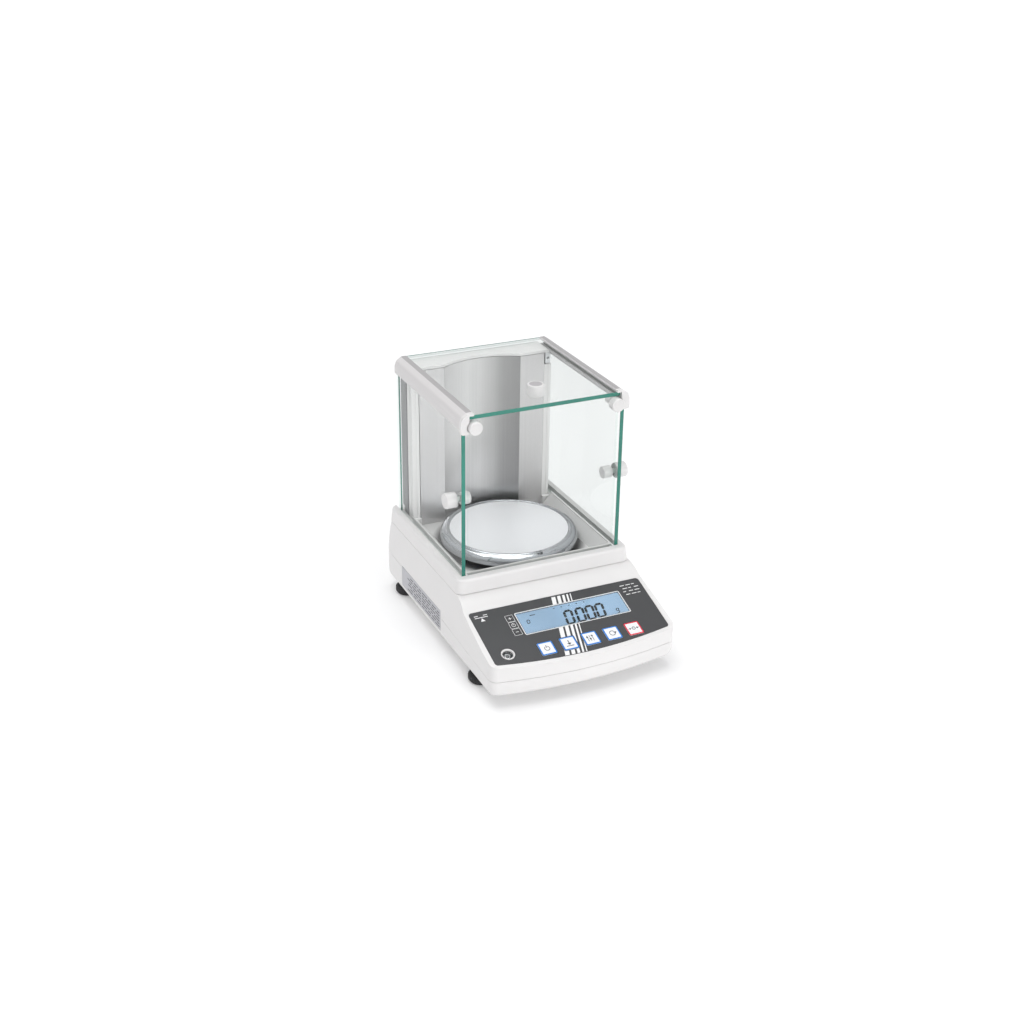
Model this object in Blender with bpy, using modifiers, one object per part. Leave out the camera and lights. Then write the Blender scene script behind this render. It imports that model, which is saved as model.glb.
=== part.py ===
"""Precision laboratory balance with a glass draft shield.

Every piece is its own object. Units are metres, +Z is up, the operator stands at -Y, and the origin lies
under the middle of the object on the surface it stands on.
"""

import math

import bmesh
import bpy
from mathutils import Matrix, Vector

# Driving dimensions of the housing.
HALF_WIDTH = 0.098
FRONT = -0.1345  # the front face at its two corners
BOW = 0.0085  # how far the middle of the front face stands out from its corners
REAR = 0.141
CORNER_RADIUS = 0.009
UNDERSIDE = 0.012
DECK = 0.0763  # flat top that carries the draft shield
WALL = 0.0026
SEAM_FRONT = 0.0297  # parting line of the two shells, at the front corners
SEAM_SLOPE = 0.05  # the parting line rises towards the rear
SEAM_GAP = 0.0004
GAP = 0.0003  # clearance between neighbouring pieces

# Sloping control panel, in its own frame: x to the right, s up the slope, n along its normal.
PANEL_FOOT = Vector((0.0, -0.1308, 0.0460))
PANEL_ANGLE = math.atan2(0.0208, 0.0659)
PANEL_HALF_WIDTH = 0.0921
PANEL_LENGTH = 0.0690
PANEL_BOW = 0.0076
OVERLAY_THICKNESS = 0.0009
SHOULDER_FRONT = -0.058
SHOULDER_REAR = -0.0450

# Display, keys and level, in the panel's frame.
WINDOW = (-0.0480, 0.0637, 0.0292, 0.0565)  # x and s limits of the display opening
KEY_NAMES = ("key_on_off", "key_print", "key_set", "key_function", "key_tare")
KEY_FIRST = -0.0366
KEY_PITCH = 0.0232
KEY_ROW = 0.0070
KEY_SIZE = (0.0155, 0.0158)
KEY_HEIGHT = 0.0113
KEY_PROUD = 0.0003
LEVEL_AT = (-0.0755, 0.0105)
LEVEL_RADIUS = 0.0067
BOARD_DEPTH = 0.0125  # the display board's upper face, below the panel surface

# Draft shield tray.
TRAY_BASE = DECK + GAP
TRAY_TOP = 0.0915
TRAY_FLOOR = 0.0780
TRAY_HALF_BASE = 0.0940
TRAY_HALF_TOP = 0.0918
TRAY_FRONT_BASE = -0.0453
TRAY_FRONT_TOP = -0.0417
TRAY_CORNER = 0.0080
LIP_INNER = 0.0788
LIP_REAR = 0.1050
RAMP_FOOT = 0.0680
POCKET_FRONT = -0.0290

# Glass panes and the grooves they run in.
GLASS = 0.0040
DOOR_INNER = 0.0813
DOOR_OUTER = DOOR_INNER + GLASS
GROOVE_PLAY = 0.0004
DOOR_FRONT = -0.0348
DOOR_REAR = 0.1349
DOOR_FOOT = 0.0870
DOOR_HEAD = 0.2492
PANE_HALF_WIDTH = 0.0786
PANE_FRONT = -0.0351
PANE_HEAD = 0.2527
LID_LOW = 0.2531
LID_HALF_WIDTH = 0.0789
LID_FRONT = -0.0370
LID_REAR = 0.1384

# Rails over the side doors.
RAIL_INNER = 0.0746
RAIL_OUTER = 0.0876
RAIL_TOP = 0.2597
RAIL_FRONT = DOOR_FRONT
RAIL_REAR = 0.1313
CAP_FRONT = -0.0385

# Rear wall of the weighing chamber.
WALL_FRONT = 0.1095
WALL_SHEET = 0.0018
NICHE_RADIUS = 0.0800
WALL_HALF_WIDTH = 0.0699
COVER_HALF_WIDTH = 0.0786
COVER_FRONT = 0.1240
COVER_REAR = 0.1340
WALL_HEAD = 0.2495
POST_INNER = 0.0702
POST_OUTER = 0.0784
POST_REAR = 0.1220
POST_HEAD = 0.2368
FOOT_BLOCK_HEAD = 0.0872

# Weighing plate.
PLATE_CENTRE = (0.0, 0.0418)
PLATE_TOP = 0.0935
PLATE_FLAT = 0.0614
PLATE_RADIUS = 0.0706
PLATE_SKIRT_LOW = 0.0832
PLATE_SHEET = 0.0014

# Knobs.
KNOB_RADIUS = 0.0076
KNOB_OUT = 0.0972
KNOB_IN = 0.0712
DOOR_KNOB_AT = (-0.0205, 0.1670)
LID_KNOB_AT = (0.0, -0.0140)
LID_KNOB_TOP = 0.2690
THUMB_AT = (0.0742, 0.2458)
THUMB_RADIUS = 0.0066
THUMB_FRONT = -0.0425
THUMB_SHANK = 0.0024

# Levelling feet, their nuts and the housing screws.
FEET = {
    "front_left": (-0.0845, -0.0790),
    "front_right": (0.0845, -0.0790),
    "rear_left": (-0.0845, 0.1150),
    "rear_right": (0.0845, 0.1150),
}
FOOT_RADIUS = 0.0125
FOOT_HEIGHT = 0.0085
STEM_RADIUS = 0.0035
STEM_TOP = 0.0260
NUT_TOP = 0.0240
NUT_RADIUS = 0.0058
SCREWS = {
    "front_left": (-0.0850, -0.1190),
    "front_right": (0.0850, -0.1190),
    "rear_left": (-0.0850, 0.1310),
    "rear_right": (0.0850, 0.1310),
}
BOSS_RADIUS = 0.0040
BOSS_HOLE = 0.0019
BOSS_FOOT = 0.0160

ROUND = 40  # sides of a round piece
SMALL_ROUND = 24


def seam_height(y):
    """Height of the parting line between the two shells."""
    return SEAM_FRONT + (y - FRONT) * SEAM_SLOPE


def clear_scene():
    for obj in list(bpy.data.objects):
        bpy.data.objects.remove(obj, do_unlink=True)


def make_collection(name):
    collection = bpy.data.collections.new(name)
    bpy.context.scene.collection.children.link(collection)
    return collection


def make_material(name, color, roughness, metallic=0.0, alpha=1.0):
    material = bpy.data.materials.new(name)
    material.use_nodes = True
    shader = material.node_tree.nodes["Principled BSDF"]
    shader.inputs["Base Color"].default_value = (*color, 1.0)
    shader.inputs["Roughness"].default_value = roughness
    shader.inputs["Metallic"].default_value = metallic
    shader.inputs["Alpha"].default_value = alpha
    material.diffuse_color = (*color, alpha)
    return material


def add_mesh(name, bm):
    """A new object in the parts collection, holding this bmesh."""
    mesh = bpy.data.meshes.new(name)
    bm.to_mesh(mesh)
    bm.free()
    obj = bpy.data.objects.new(name, mesh)
    PARTS.objects.link(obj)
    return obj


def bake(obj):
    """Applies the modifiers and the placement, so that the mesh itself holds the shape."""
    bpy.context.view_layer.update()
    graph = bpy.context.evaluated_depsgraph_get()
    mesh = bpy.data.meshes.new_from_object(obj.evaluated_get(graph))
    mesh.transform(obj.matrix_world)
    bm = bmesh.new()
    bm.from_mesh(mesh)
    bmesh.ops.remove_doubles(bm, verts=bm.verts, dist=1e-6)
    bmesh.ops.recalc_face_normals(bm, faces=bm.faces)
    name = obj.name
    bpy.data.objects.remove(obj, do_unlink=True)
    return add_mesh(name, bm)


def box(name, low, high):
    bm = bmesh.new()
    size = [h - l for l, h in zip(low, high)]
    middle = [(h + l) / 2 for l, h in zip(low, high)]
    bmesh.ops.create_cube(bm, size=1.0, matrix=Matrix.Translation(middle) @ Matrix.Diagonal((*size, 1.0)))
    return add_mesh(name, bm)


def tapered(name, radius_low, radius_high, low, high, segments=ROUND):
    """A cylinder or cone between two points."""
    start = Vector(low)
    along = Vector(high) - start
    turn = along.to_track_quat("Z", "Y").to_matrix().to_4x4()
    place = Matrix.Translation(start + along / 2) @ turn
    bm = bmesh.new()
    bmesh.ops.create_cone(
        bm,
        cap_ends=True,
        segments=segments,
        radius1=radius_low,
        radius2=radius_high,
        depth=along.length,
        matrix=place,
    )
    return add_mesh(name, bm)


def cylinder(name, radius, low, high, segments=ROUND):
    return tapered(name, radius, radius, low, high, segments)


def prism(name, outline, low, high):
    """A flat outline in x and y, filled and given its thickness along z."""
    curve = bpy.data.curves.new(name, "CURVE")
    curve.dimensions = "2D"
    curve.fill_mode = "BOTH"
    curve.extrude = (high - low) / 2
    spline = curve.splines.new("POLY")
    spline.points.add(len(outline) - 1)
    for point, (x, y) in zip(spline.points, outline):
        point.co = (x, y, 0.0, 1.0)
    spline.use_cyclic_u = True
    obj = bpy.data.objects.new(name, curve)
    obj.location.z = (low + high) / 2
    PARTS.objects.link(obj)
    return bake(obj)


def along_y(obj):
    """Stands a prism up: its outline's y becomes z, and its z becomes y."""
    obj.data.transform(Matrix(((1, 0, 0, 0), (0, 0, 1, 0), (0, 1, 0, 0), (0, 0, 0, 1))))
    obj.data.flip_normals()
    return obj


def along_x(obj):
    """Lays a prism over: its outline's x becomes y, its y becomes z, and its z becomes x."""
    obj.data.transform(Matrix(((0, 0, 1, 0), (1, 0, 0, 0), (0, 1, 0, 0), (0, 0, 0, 1))))
    return obj


def lathe(name, profile, segments=ROUND):
    """A turned piece about z. The profile runs down its outer side from the top."""
    bm = bmesh.new()
    points = [bm.verts.new((radius, 0.0, height)) for radius, height in profile]
    for start, end in zip(points, points[1:]):
        bm.edges.new((start, end))
    if profile[0][0] > 0:
        bm.edges.new((points[-1], points[0]))
    obj = add_mesh(name, bm)
    screw = obj.modifiers.new("turn", "SCREW")
    screw.steps = segments
    screw.render_steps = segments
    screw.use_merge_vertices = True
    screw.merge_threshold = 1e-5
    return obj


def loft(name, sections):
    """Closed outlines of equal length, each with its height, joined in order and capped."""
    bm = bmesh.new()
    loops = []
    for height, outline in sections:
        points = [bm.verts.new((x, y, height)) for x, y in outline]
        loops.append([bm.edges.new((a, b)) for a, b in zip(points, points[1:] + points[:1])])
    for lower, upper in zip(loops, loops[1:]):
        bmesh.ops.bridge_loops(bm, edges=lower + upper)
    bmesh.ops.holes_fill(bm, edges=loops[0] + loops[-1], sides=0)
    bmesh.ops.recalc_face_normals(bm, faces=bm.faces)
    return add_mesh(name, bm)


def arc(centre, radius, start, end, steps):
    """Points on a circle from one angle to another, in degrees."""
    points = []
    for step in range(steps + 1):
        angle = math.radians(start + (end - start) * step / steps)
        points.append((centre[0] + radius * math.cos(angle), centre[1] + radius * math.sin(angle)))
    return points


def bowed_outline(half_width, front, rear, bow, radius, steps=5, bow_steps=12):
    """A rectangle with round corners whose front edge swells out in the middle, counter-clockwise."""
    reach = half_width - radius
    points = arc((reach, rear - radius), radius, 0, 90, steps)
    points += arc((-reach, rear - radius), radius, 90, 180, steps)
    points += arc((-reach, front + radius), radius, 180, 270, steps)
    for step in range(1, bow_steps):
        share = 2 * step / bow_steps - 1
        points.append((share * reach, front - bow * (1 - share * share)))
    points += arc((reach, front + radius), radius, 270, 360, steps)
    return points


def rounded_rectangle(x_low, x_high, y_low, y_high, radius, steps=3):
    points = arc((x_high - radius, y_high - radius), radius, 0, 90, steps)
    points += arc((x_low + radius, y_high - radius), radius, 90, 180, steps)
    points += arc((x_low + radius, y_low + radius), radius, 180, 270, steps)
    points += arc((x_high - radius, y_low + radius), radius, 270, 360, steps)
    return points


def boolean(obj, tool, operation):
    """Cuts or joins with another object, which then goes to the hidden tools."""
    modifier = obj.modifiers.new(tool.name, "BOOLEAN")
    modifier.operation = operation
    modifier.solver = "EXACT"
    modifier.object = tool
    tool.hide_render = True
    tool.display_type = "WIRE"
    if tool.name in PARTS.objects:
        PARTS.objects.unlink(tool)
        TOOLS.objects.link(tool)
    return obj


def cut(obj, *tools):
    for tool in tools:
        boolean(obj, tool, "DIFFERENCE")
    return obj


def join(obj, *tools):
    for tool in tools:
        boolean(obj, tool, "UNION")
    return obj


def soften(obj, width, segments=2, angle=35):
    bevel = obj.modifiers.new("edges", "BEVEL")
    bevel.width = width
    bevel.segments = segments
    bevel.limit_method = "ANGLE"
    bevel.angle_limit = math.radians(angle)
    return obj


def finish(obj, material, smooth=None):
    """Gives a finished piece its material, and shades it smooth below the given edge angle."""
    obj.data.materials.clear()
    obj.data.materials.append(material)
    if smooth:
        obj.data.shade_smooth()
        obj.data.set_sharp_from_angle(angle=math.radians(smooth))
    return obj


def on_panel(obj):
    """Places a piece that was built in the panel's own frame."""
    obj.matrix_world = Matrix.Translation(PANEL_FOOT) @ Matrix.Rotation(PANEL_ANGLE, 4, "X") @ obj.matrix_world
    return obj


def mirrored(obj, name):
    """A second piece that is the mirror image across the middle plane."""
    bm = bmesh.new()
    bm.from_mesh(obj.data)
    bmesh.ops.scale(bm, vec=(-1.0, 1.0, 1.0), verts=bm.verts)
    bmesh.ops.reverse_faces(bm, faces=bm.faces)
    return add_mesh(name, bm)


# --- Housing -------------------------------------------------------------------------------------------


def housing_sections(inset):
    """Outlines of the housing at each height, drawn in by the given wall thickness."""
    sides = ((0.0120, 0.0045), (0.0145, 0.0020), (0.0180, 0.0006), (0.0230, 0.0), (0.0440, 0.0), (0.0620, 0.0014), (DECK, 0.0040))
    sections = []
    for height, draft in sides:
        level = height
        if height == UNDERSIDE:
            level = height + inset
        if height == DECK:
            level = height - inset
        shift = inset + draft
        sections.append(
            (
                level,
                bowed_outline(HALF_WIDTH - shift, FRONT + shift, REAR - inset, BOW, CORNER_RADIUS - inset / 2),
            )
        )
    return sorted(sections, key=lambda section: section[0])


def slope_profile(drop):
    """The side view of what is cut off above the control panel, lowered by the given amount."""
    fall = math.tan(PANEL_ANGLE)
    start = Vector((SHOULDER_REAR, DECK - drop))
    end = Vector((SHOULDER_FRONT, PANEL_FOOT.z + (SHOULDER_FRONT - PANEL_FOOT.y) * fall - drop))
    bend = Vector((end.x + 0.0075, end.y + 0.0075 * fall + 0.0030))
    shoulder = []
    for step in range(6):
        t = step / 5
        shoulder.append(tuple(start * (1 - t) ** 2 + bend * 2 * t * (1 - t) + end * t * t))
    front = -0.170
    foot = (front, PANEL_FOOT.z + (front - PANEL_FOOT.y) * fall - drop)
    return shoulder + [foot, (front, 0.110), (SHOULDER_REAR, 0.110)]


def housing_solid(name, inset, drop):
    """The closed outer shape of the housing, or with an inset its cavity."""
    body = loft(name, housing_sections(inset))
    slope = along_x(prism(name + "_slope", slope_profile(drop), -0.120, 0.120))
    return bake(cut(body, slope))


def below_seam(name, lift):
    """A block that holds everything below the parting line."""
    reach = 0.160
    outline = [
        (-reach, -0.010),
        (reach, -0.010),
        (reach, seam_height(reach) + lift),
        (-reach, seam_height(-reach) + lift),
    ]
    return along_x(prism(name, outline, -0.120, 0.120))


def panel_recess_tools():
    """Cutters for everything that is set into the control panel."""
    outline = bowed_outline(PANEL_HALF_WIDTH + GAP, -GAP, PANEL_LENGTH + GAP, PANEL_BOW, 0.0033, 3)
    tools = [on_panel(prism("recess_tool", outline, -OVERLAY_THICKNESS - GAP, 0.010))]
    x_low, x_high, s_low, s_high = WINDOW
    tools.append(
        on_panel(prism("window_tool", rounded_rectangle(x_low - 0.002, x_high + 0.002, s_low - 0.002, s_high + 0.002, 0.001), -0.012, 0.004))
    )
    for number in range(len(KEY_NAMES)):
        tools.append(on_panel(prism("key_tool_%d" % number, key_outline(number, 2 * GAP), -0.012, 0.004)))
    tools.append(on_panel(cylinder("level_tool", LEVEL_RADIUS + 2 * GAP, (*LEVEL_AT, -0.012), (*LEVEL_AT, 0.004))))
    return tools


def label_pocket():
    return box("label_tool", (-0.1100, -0.0105, 0.0206), (-0.0974, 0.0950, 0.0436))


def make_top_housing():
    shell = housing_solid("top_housing", 0.0, 0.0)
    shell = bake(soften(shell, 0.0030, 2, 30))
    cavity = housing_solid("cavity", WALL, WALL / math.cos(PANEL_ANGLE))
    cut(shell, cavity, below_seam("seam_tool", 0.0), label_pocket())
    for corner, (x, y) in SCREWS.items():
        head = 0.0470 if y < 0 else 0.0750
        join(shell, cylinder("boss_" + corner, BOSS_RADIUS, (x, y, BOSS_FOOT), (x, y, head), 16))
    for corner, (x, y) in SCREWS.items():
        cut(shell, cylinder("boss_hole_" + corner, BOSS_HOLE, (x, y, 0.005), (x, y, 0.034), 16))
    stem_x, stem_y = PLATE_CENTRE
    cut(shell, cylinder("stem_tool", 0.020, (stem_x, stem_y, 0.060), (stem_x, stem_y, 0.090)))
    cut(shell, jack_hole("jack_tool"), port_hole("port_tool"))
    cut(shell, *panel_recess_tools())
    return finish(bake(shell), WHITE, 40)


def make_bottom_shell():
    shell = bake(soften(housing_solid("bottom_shell", 0.0, 0.0), 0.0020, 2, 50))
    cavity = housing_solid("bottom_cavity", WALL, WALL / math.cos(PANEL_ANGLE))
    above = below_seam("above_tool", -SEAM_GAP)
    lid = cut(box("lid_tool", (-0.130, -0.155, 0.001), (0.130, 0.155, 0.120)), above)
    cut(shell, bake(lid), cavity, label_pocket())
    for corner, (x, y) in FEET.items():
        cut(shell, cylinder("stem_hole_" + corner, STEM_RADIUS + 0.0006, (x, y, 0.0), (x, y, 0.030), 20))
    for corner, (x, y) in SCREWS.items():
        cut(shell, cylinder("screw_hole_" + corner, 0.0022, (x, y, 0.0), (x, y, 0.030), 16))
        cut(shell, cylinder("screw_seat_" + corner, 0.0040, (x, y, 0.0), (x, y, UNDERSIDE + 0.0014), 16))
    return finish(bake(shell), WHITE, 40)


# --- Control panel -------------------------------------------------------------------------------------


def key_outline(number, play=0.0):
    x = KEY_FIRST + number * KEY_PITCH
    half_x = KEY_SIZE[0] / 2 + play
    half_s = KEY_SIZE[1] / 2 + play
    return rounded_rectangle(x - half_x, x + half_x, KEY_ROW - half_s, KEY_ROW + half_s, 0.0012, 2)


def make_overlay():
    outline = bowed_outline(PANEL_HALF_WIDTH, 0.0, PANEL_LENGTH, PANEL_BOW, 0.0030, 3)
    sheet = prism("keypad_overlay", outline, -OVERLAY_THICKNESS, 0.0)
    x_low, x_high, s_low, s_high = WINDOW
    cut(sheet, prism("overlay_window", rounded_rectangle(x_low, x_high, s_low, s_high, 0.001), -0.005, 0.005))
    for number in range(len(KEY_NAMES)):
        cut(sheet, prism("overlay_key_%d" % number, key_outline(number, GAP), -0.005, 0.005))
    cut(sheet, cylinder("overlay_level", LEVEL_RADIUS + GAP, (*LEVEL_AT, -0.005), (*LEVEL_AT, 0.005)))
    return finish(on_panel(bake(sheet)), DARK_FOIL)


def make_keys():
    for number, name in enumerate(KEY_NAMES):
        key = prism(name, key_outline(number), KEY_PROUD - KEY_HEIGHT, KEY_PROUD)
        finish(on_panel(key), KEY_RED if name == "key_tare" else KEY_BLUE)


def make_display():
    x_low, x_high, s_low, s_high = WINDOW
    outline = rounded_rectangle(x_low + GAP, x_high - GAP, s_low + GAP, s_high - GAP, 0.0008)
    finish(on_panel(prism("display_window", outline, -0.0012, -0.0002)), CLEAR)
    module = box("lcd_module", (x_low - 0.0015, s_low - 0.0015, -0.0095), (x_high + 0.0015, s_high + 0.0015, -0.0016))
    finish(on_panel(module), DISPLAY_BLUE)
    board = box("display_board", (-0.0785, 0.0060, -BOARD_DEPTH - 0.0016), (0.0785, 0.0600, -BOARD_DEPTH))
    finish(on_panel(board), BOARD_GREEN)


def make_level():
    x, s = LEVEL_AT
    bezel_profile = [
        (LEVEL_RADIUS - 0.0013, 0.0003),
        (LEVEL_RADIUS, 0.0003),
        (LEVEL_RADIUS, -0.0090),
        (LEVEL_RADIUS - 0.0013, -0.0090),
    ]
    vial_profile = [(0.0, -0.0024), (0.0051, -0.0024), (0.0051, -0.0086), (0.0, -0.0086)]
    lens_profile = [(0.0, -0.0006), (0.0030, -0.0008), (0.0051, -0.0013), (0.0051, -0.0021), (0.0, -0.0021)]
    for name, profile, material in (
        ("level_bezel", bezel_profile, WHITE),
        ("level_vial", vial_profile, BLACK),
        ("level_lens", lens_profile, CLEAR),
    ):
        piece = lathe(name, profile, SMALL_ROUND)
        piece.location = (x, s, 0.0)
        bpy.context.view_layer.update()
        finish(on_panel(bake(piece)), material, 40)


# --- Draft shield --------------------------------------------------------------------------------------


def tray_outline(half_width, front, radius):
    return bowed_outline(half_width, front, REAR, 0.0, radius, 5, 2)


def make_tray():
    tray = loft(
        "shield_tray",
        (
            (TRAY_BASE, tray_outline(TRAY_HALF_BASE, TRAY_FRONT_BASE, TRAY_CORNER)),
            (TRAY_TOP, tray_outline(TRAY_HALF_TOP, TRAY_FRONT_TOP, TRAY_CORNER)),
        ),
    )
    tray = bake(soften(tray, 0.0015, 2, 50))
    hopper = loft(
        "hopper_tool",
        (
            (TRAY_FLOOR, rounded_rectangle(-RAMP_FOOT, RAMP_FOOT, POCKET_FRONT, 0.1070, 0.004)),
            (TRAY_TOP - 0.0010, rounded_rectangle(-LIP_INNER, LIP_INNER, POCKET_FRONT, 0.1070, 0.004)),
            (TRAY_TOP + 0.0100, rounded_rectangle(-LIP_INNER, LIP_INNER, POCKET_FRONT, 0.1070, 0.004)),
        ),
    )
    rear_pocket = box("rear_pocket_tool", (-LIP_INNER - 0.0003, 0.1040, TRAY_FLOOR), (LIP_INNER + 0.0003, 0.1346, 0.1200))
    cut(tray, hopper, rear_pocket)
    for side in (-1, 1):
        edges = sorted((side * (DOOR_INNER - GROOVE_PLAY), side * (DOOR_OUTER + GROOVE_PLAY)))
        low = (edges[0], DOOR_FRONT - GROOVE_PLAY, DOOR_FOOT - GROOVE_PLAY)
        high = (edges[1], 0.1600, 0.1200)
        cut(tray, box("door_groove_%d" % side, low, high))
        gap = sorted((side * (LIP_INNER - 0.0010), side * (DOOR_INNER + 0.0010)))
        cut(tray, box("lip_end_%d" % side, (gap[0], LIP_REAR, DOOR_FOOT - GROOVE_PLAY), (gap[1], 0.1600, 0.1200)))
    cut(tray, box("pane_groove", (-0.0789, PANE_FRONT - GAP, 0.0870), (0.0789, PANE_FRONT + GLASS + GAP, 0.1200)))
    stem_x, stem_y = PLATE_CENTRE
    cut(tray, cylinder("tray_stem_tool", 0.014, (stem_x, stem_y, 0.070), (stem_x, stem_y, 0.090)))
    return finish(bake(tray), WHITE, 40)


def rail_outline():
    """Cross-section of the right-hand rail: x across, z up."""
    slot_low = LID_LOW - GAP
    slot_high = LID_LOW + GLASS + GAP
    slot_end = LID_HALF_WIDTH + GROOVE_PLAY
    groove_in = DOOR_INNER - GROOVE_PLAY
    groove_out = DOOR_OUTER + GROOVE_PLAY
    groove_top = DOOR_HEAD + GROOVE_PLAY
    flange = 0.0758
    flange_low = 0.2498
    inner_foot = 0.2460
    outer_foot = 0.2430
    wall = 0.0790
    return [
        (RAIL_INNER, slot_high),
        (RAIL_INNER, RAIL_TOP),
        (0.0813, RAIL_TOP),
        (0.0862, 0.2550),
        (RAIL_OUTER, 0.2505),
        (RAIL_OUTER, outer_foot + 0.0006),
        (RAIL_OUTER - 0.0006, outer_foot),
        (groove_out, outer_foot),
        (groove_out, groove_top),
        (groove_in, groove_top),
        (groove_in, inner_foot),
        (wall, inner_foot),
        (wall, flange_low),
        (flange, flange_low),
        (flange, slot_low),
        (slot_end, slot_low),
        (slot_end, slot_high),
    ]


def cap_outline():
    """Cross-section of the rail's front cap."""
    slot_high = LID_LOW + GLASS + GAP
    slot_end = LID_HALF_WIDTH + GROOVE_PLAY
    return [
        (RAIL_INNER, slot_high),
        (RAIL_INNER, RAIL_TOP),
        (0.0813, RAIL_TOP),
        (0.0862, 0.2550),
        (RAIL_OUTER, 0.2505),
        (RAIL_OUTER, 0.2415),
        (0.0865, 0.2400),
        (slot_end, 0.2400),
        (slot_end, slot_high),
    ]


def make_rails():
    rail = along_y(prism("right_rail", rail_outline(), RAIL_FRONT, RAIL_REAR))
    notch = box("pane_notch", (0.0600, -0.0600, 0.2300), (0.0790 + GAP, PANE_FRONT + GLASS + GAP, PANE_HEAD + GAP / 2))
    rail = bake(cut(rail, notch))
    finish(rail, RAIL_GREY)
    finish(mirrored(rail, "left_rail"), RAIL_GREY)
    cap = along_y(prism("right_rail_cap", cap_outline(), CAP_FRONT, RAIL_FRONT - GAP))
    x, z = THUMB_AT
    cap = bake(cut(cap, cylinder("thumb_tool", THUMB_RADIUS + 0.0007, (x, -0.060, z), (x, -0.020, z))))
    cap = bake(soften(cap, 0.0006, 2, 60))
    finish(cap, WHITE)
    finish(mirrored(cap, "left_rail_cap"), WHITE)


def make_glass():
    pane = box("front_glass", (-PANE_HALF_WIDTH, PANE_FRONT, 0.0874), (PANE_HALF_WIDTH, PANE_FRONT + GLASS, PANE_HEAD))
    x, z = THUMB_AT
    for side in (-1, 1):
        start = (side * x, -0.060, z)
        end = (side * x, -0.020, z)
        cut(pane, cylinder("pane_hole_%d" % side, THUMB_SHANK + 0.0004, start, end, SMALL_ROUND))
    finish(bake(pane), GLASS_TINT)
    door = box("right_door_glass", (DOOR_INNER, DOOR_FRONT, DOOR_FOOT), (DOOR_OUTER, DOOR_REAR, DOOR_HEAD))
    y, z = DOOR_KNOB_AT
    cut(door, cylinder("door_hole", 0.0030, (0.070, y, z), (0.095, y, z), SMALL_ROUND))
    door = finish(bake(door), GLASS_TINT)
    finish(mirrored(door, "left_door_glass"), GLASS_TINT)
    lid = box("top_door_glass", (-LID_HALF_WIDTH, LID_FRONT, LID_LOW), (LID_HALF_WIDTH, LID_REAR, LID_LOW + GLASS))
    finish(lid, GLASS_TINT)


def knob_profile(radius, height, shank_radius=0.0, shank=0.0):
    """A plain round knob standing on z = 0, with an optional shank below it."""
    rounding = 0.0010
    profile = [(0.0, height)]
    profile += [(radius - rounding, height), (radius - rounding * 0.3, height - rounding * 0.3), (radius, height - rounding)]
    profile += [(radius, 0.0)]
    if shank:
        profile += [(shank_radius, 0.0), (shank_radius, -shank), (0.0, -shank)]
    else:
        profile += [(0.0, 0.0)]
    return profile


def make_knobs():
    y, z = DOOR_KNOB_AT
    outer_height = KNOB_OUT - DOOR_OUTER - GAP
    inner_height = DOOR_INNER - KNOB_IN - GAP
    for side, word in ((-1, "left"), (1, "right")):
        outer = lathe(word + "_door_knob", knob_profile(KNOB_RADIUS, outer_height, 0.0026, GLASS + GAP), SMALL_ROUND)
        outer.matrix_world = Matrix.Translation((side * (DOOR_OUTER + GAP), y, z)) @ Matrix.Rotation(side * math.pi / 2, 4, "Y")
        finish(bake(outer), WHITE, 40)
        inner = lathe(word + "_knob_nut", knob_profile(KNOB_RADIUS - 0.0016, inner_height), SMALL_ROUND)
        inner.matrix_world = Matrix.Translation((side * (DOOR_INNER - GAP), y, z)) @ Matrix.Rotation(-side * math.pi / 2, 4, "Y")
        finish(bake(inner), WHITE, 40)
        x, thumb_z = THUMB_AT
        thumb = lathe(word + "_thumb_screw", knob_profile(THUMB_RADIUS, PANE_FRONT - GAP - THUMB_FRONT, THUMB_SHANK, 0.0080), SMALL_ROUND)
        thumb.matrix_world = Matrix.Translation((side * x, PANE_FRONT - GAP, thumb_z)) @ Matrix.Rotation(math.pi / 2, 4, "X")
        finish(bake(thumb), WHITE, 40)
        start = (side * x, PANE_FRONT + GLASS + GAP, thumb_z)
        nut = cylinder(word + "_pane_nut", 0.0038, start, (side * x, -0.0225, thumb_z), 20)
        drill = cylinder(word + "_nut_tool", THUMB_SHANK + GAP, (side * x, -0.050, thumb_z), (side * x, -0.0255, thumb_z), 20)
        finish(bake(cut(nut, drill)), WHITE)
    lid_knob = lathe("top_door_knob", knob_profile(0.0081, LID_KNOB_TOP - LID_LOW - GLASS - GAP), ROUND)
    lid_knob.location = (*LID_KNOB_AT, LID_LOW + GLASS + GAP)
    finish(bake(lid_knob), WHITE, 40)


def niche_front(offset, steps=14):
    """Plan view of the rear wall's front surface from left to right, moved back by the offset."""
    radius = NICHE_RADIUS + offset
    depth = WALL_FRONT + offset - PLATE_CENTRE[1]
    half_angle = math.degrees(math.acos(depth / radius))
    return arc(PLATE_CENTRE, radius, 90 + half_angle, 90 - half_angle, steps)


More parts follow.
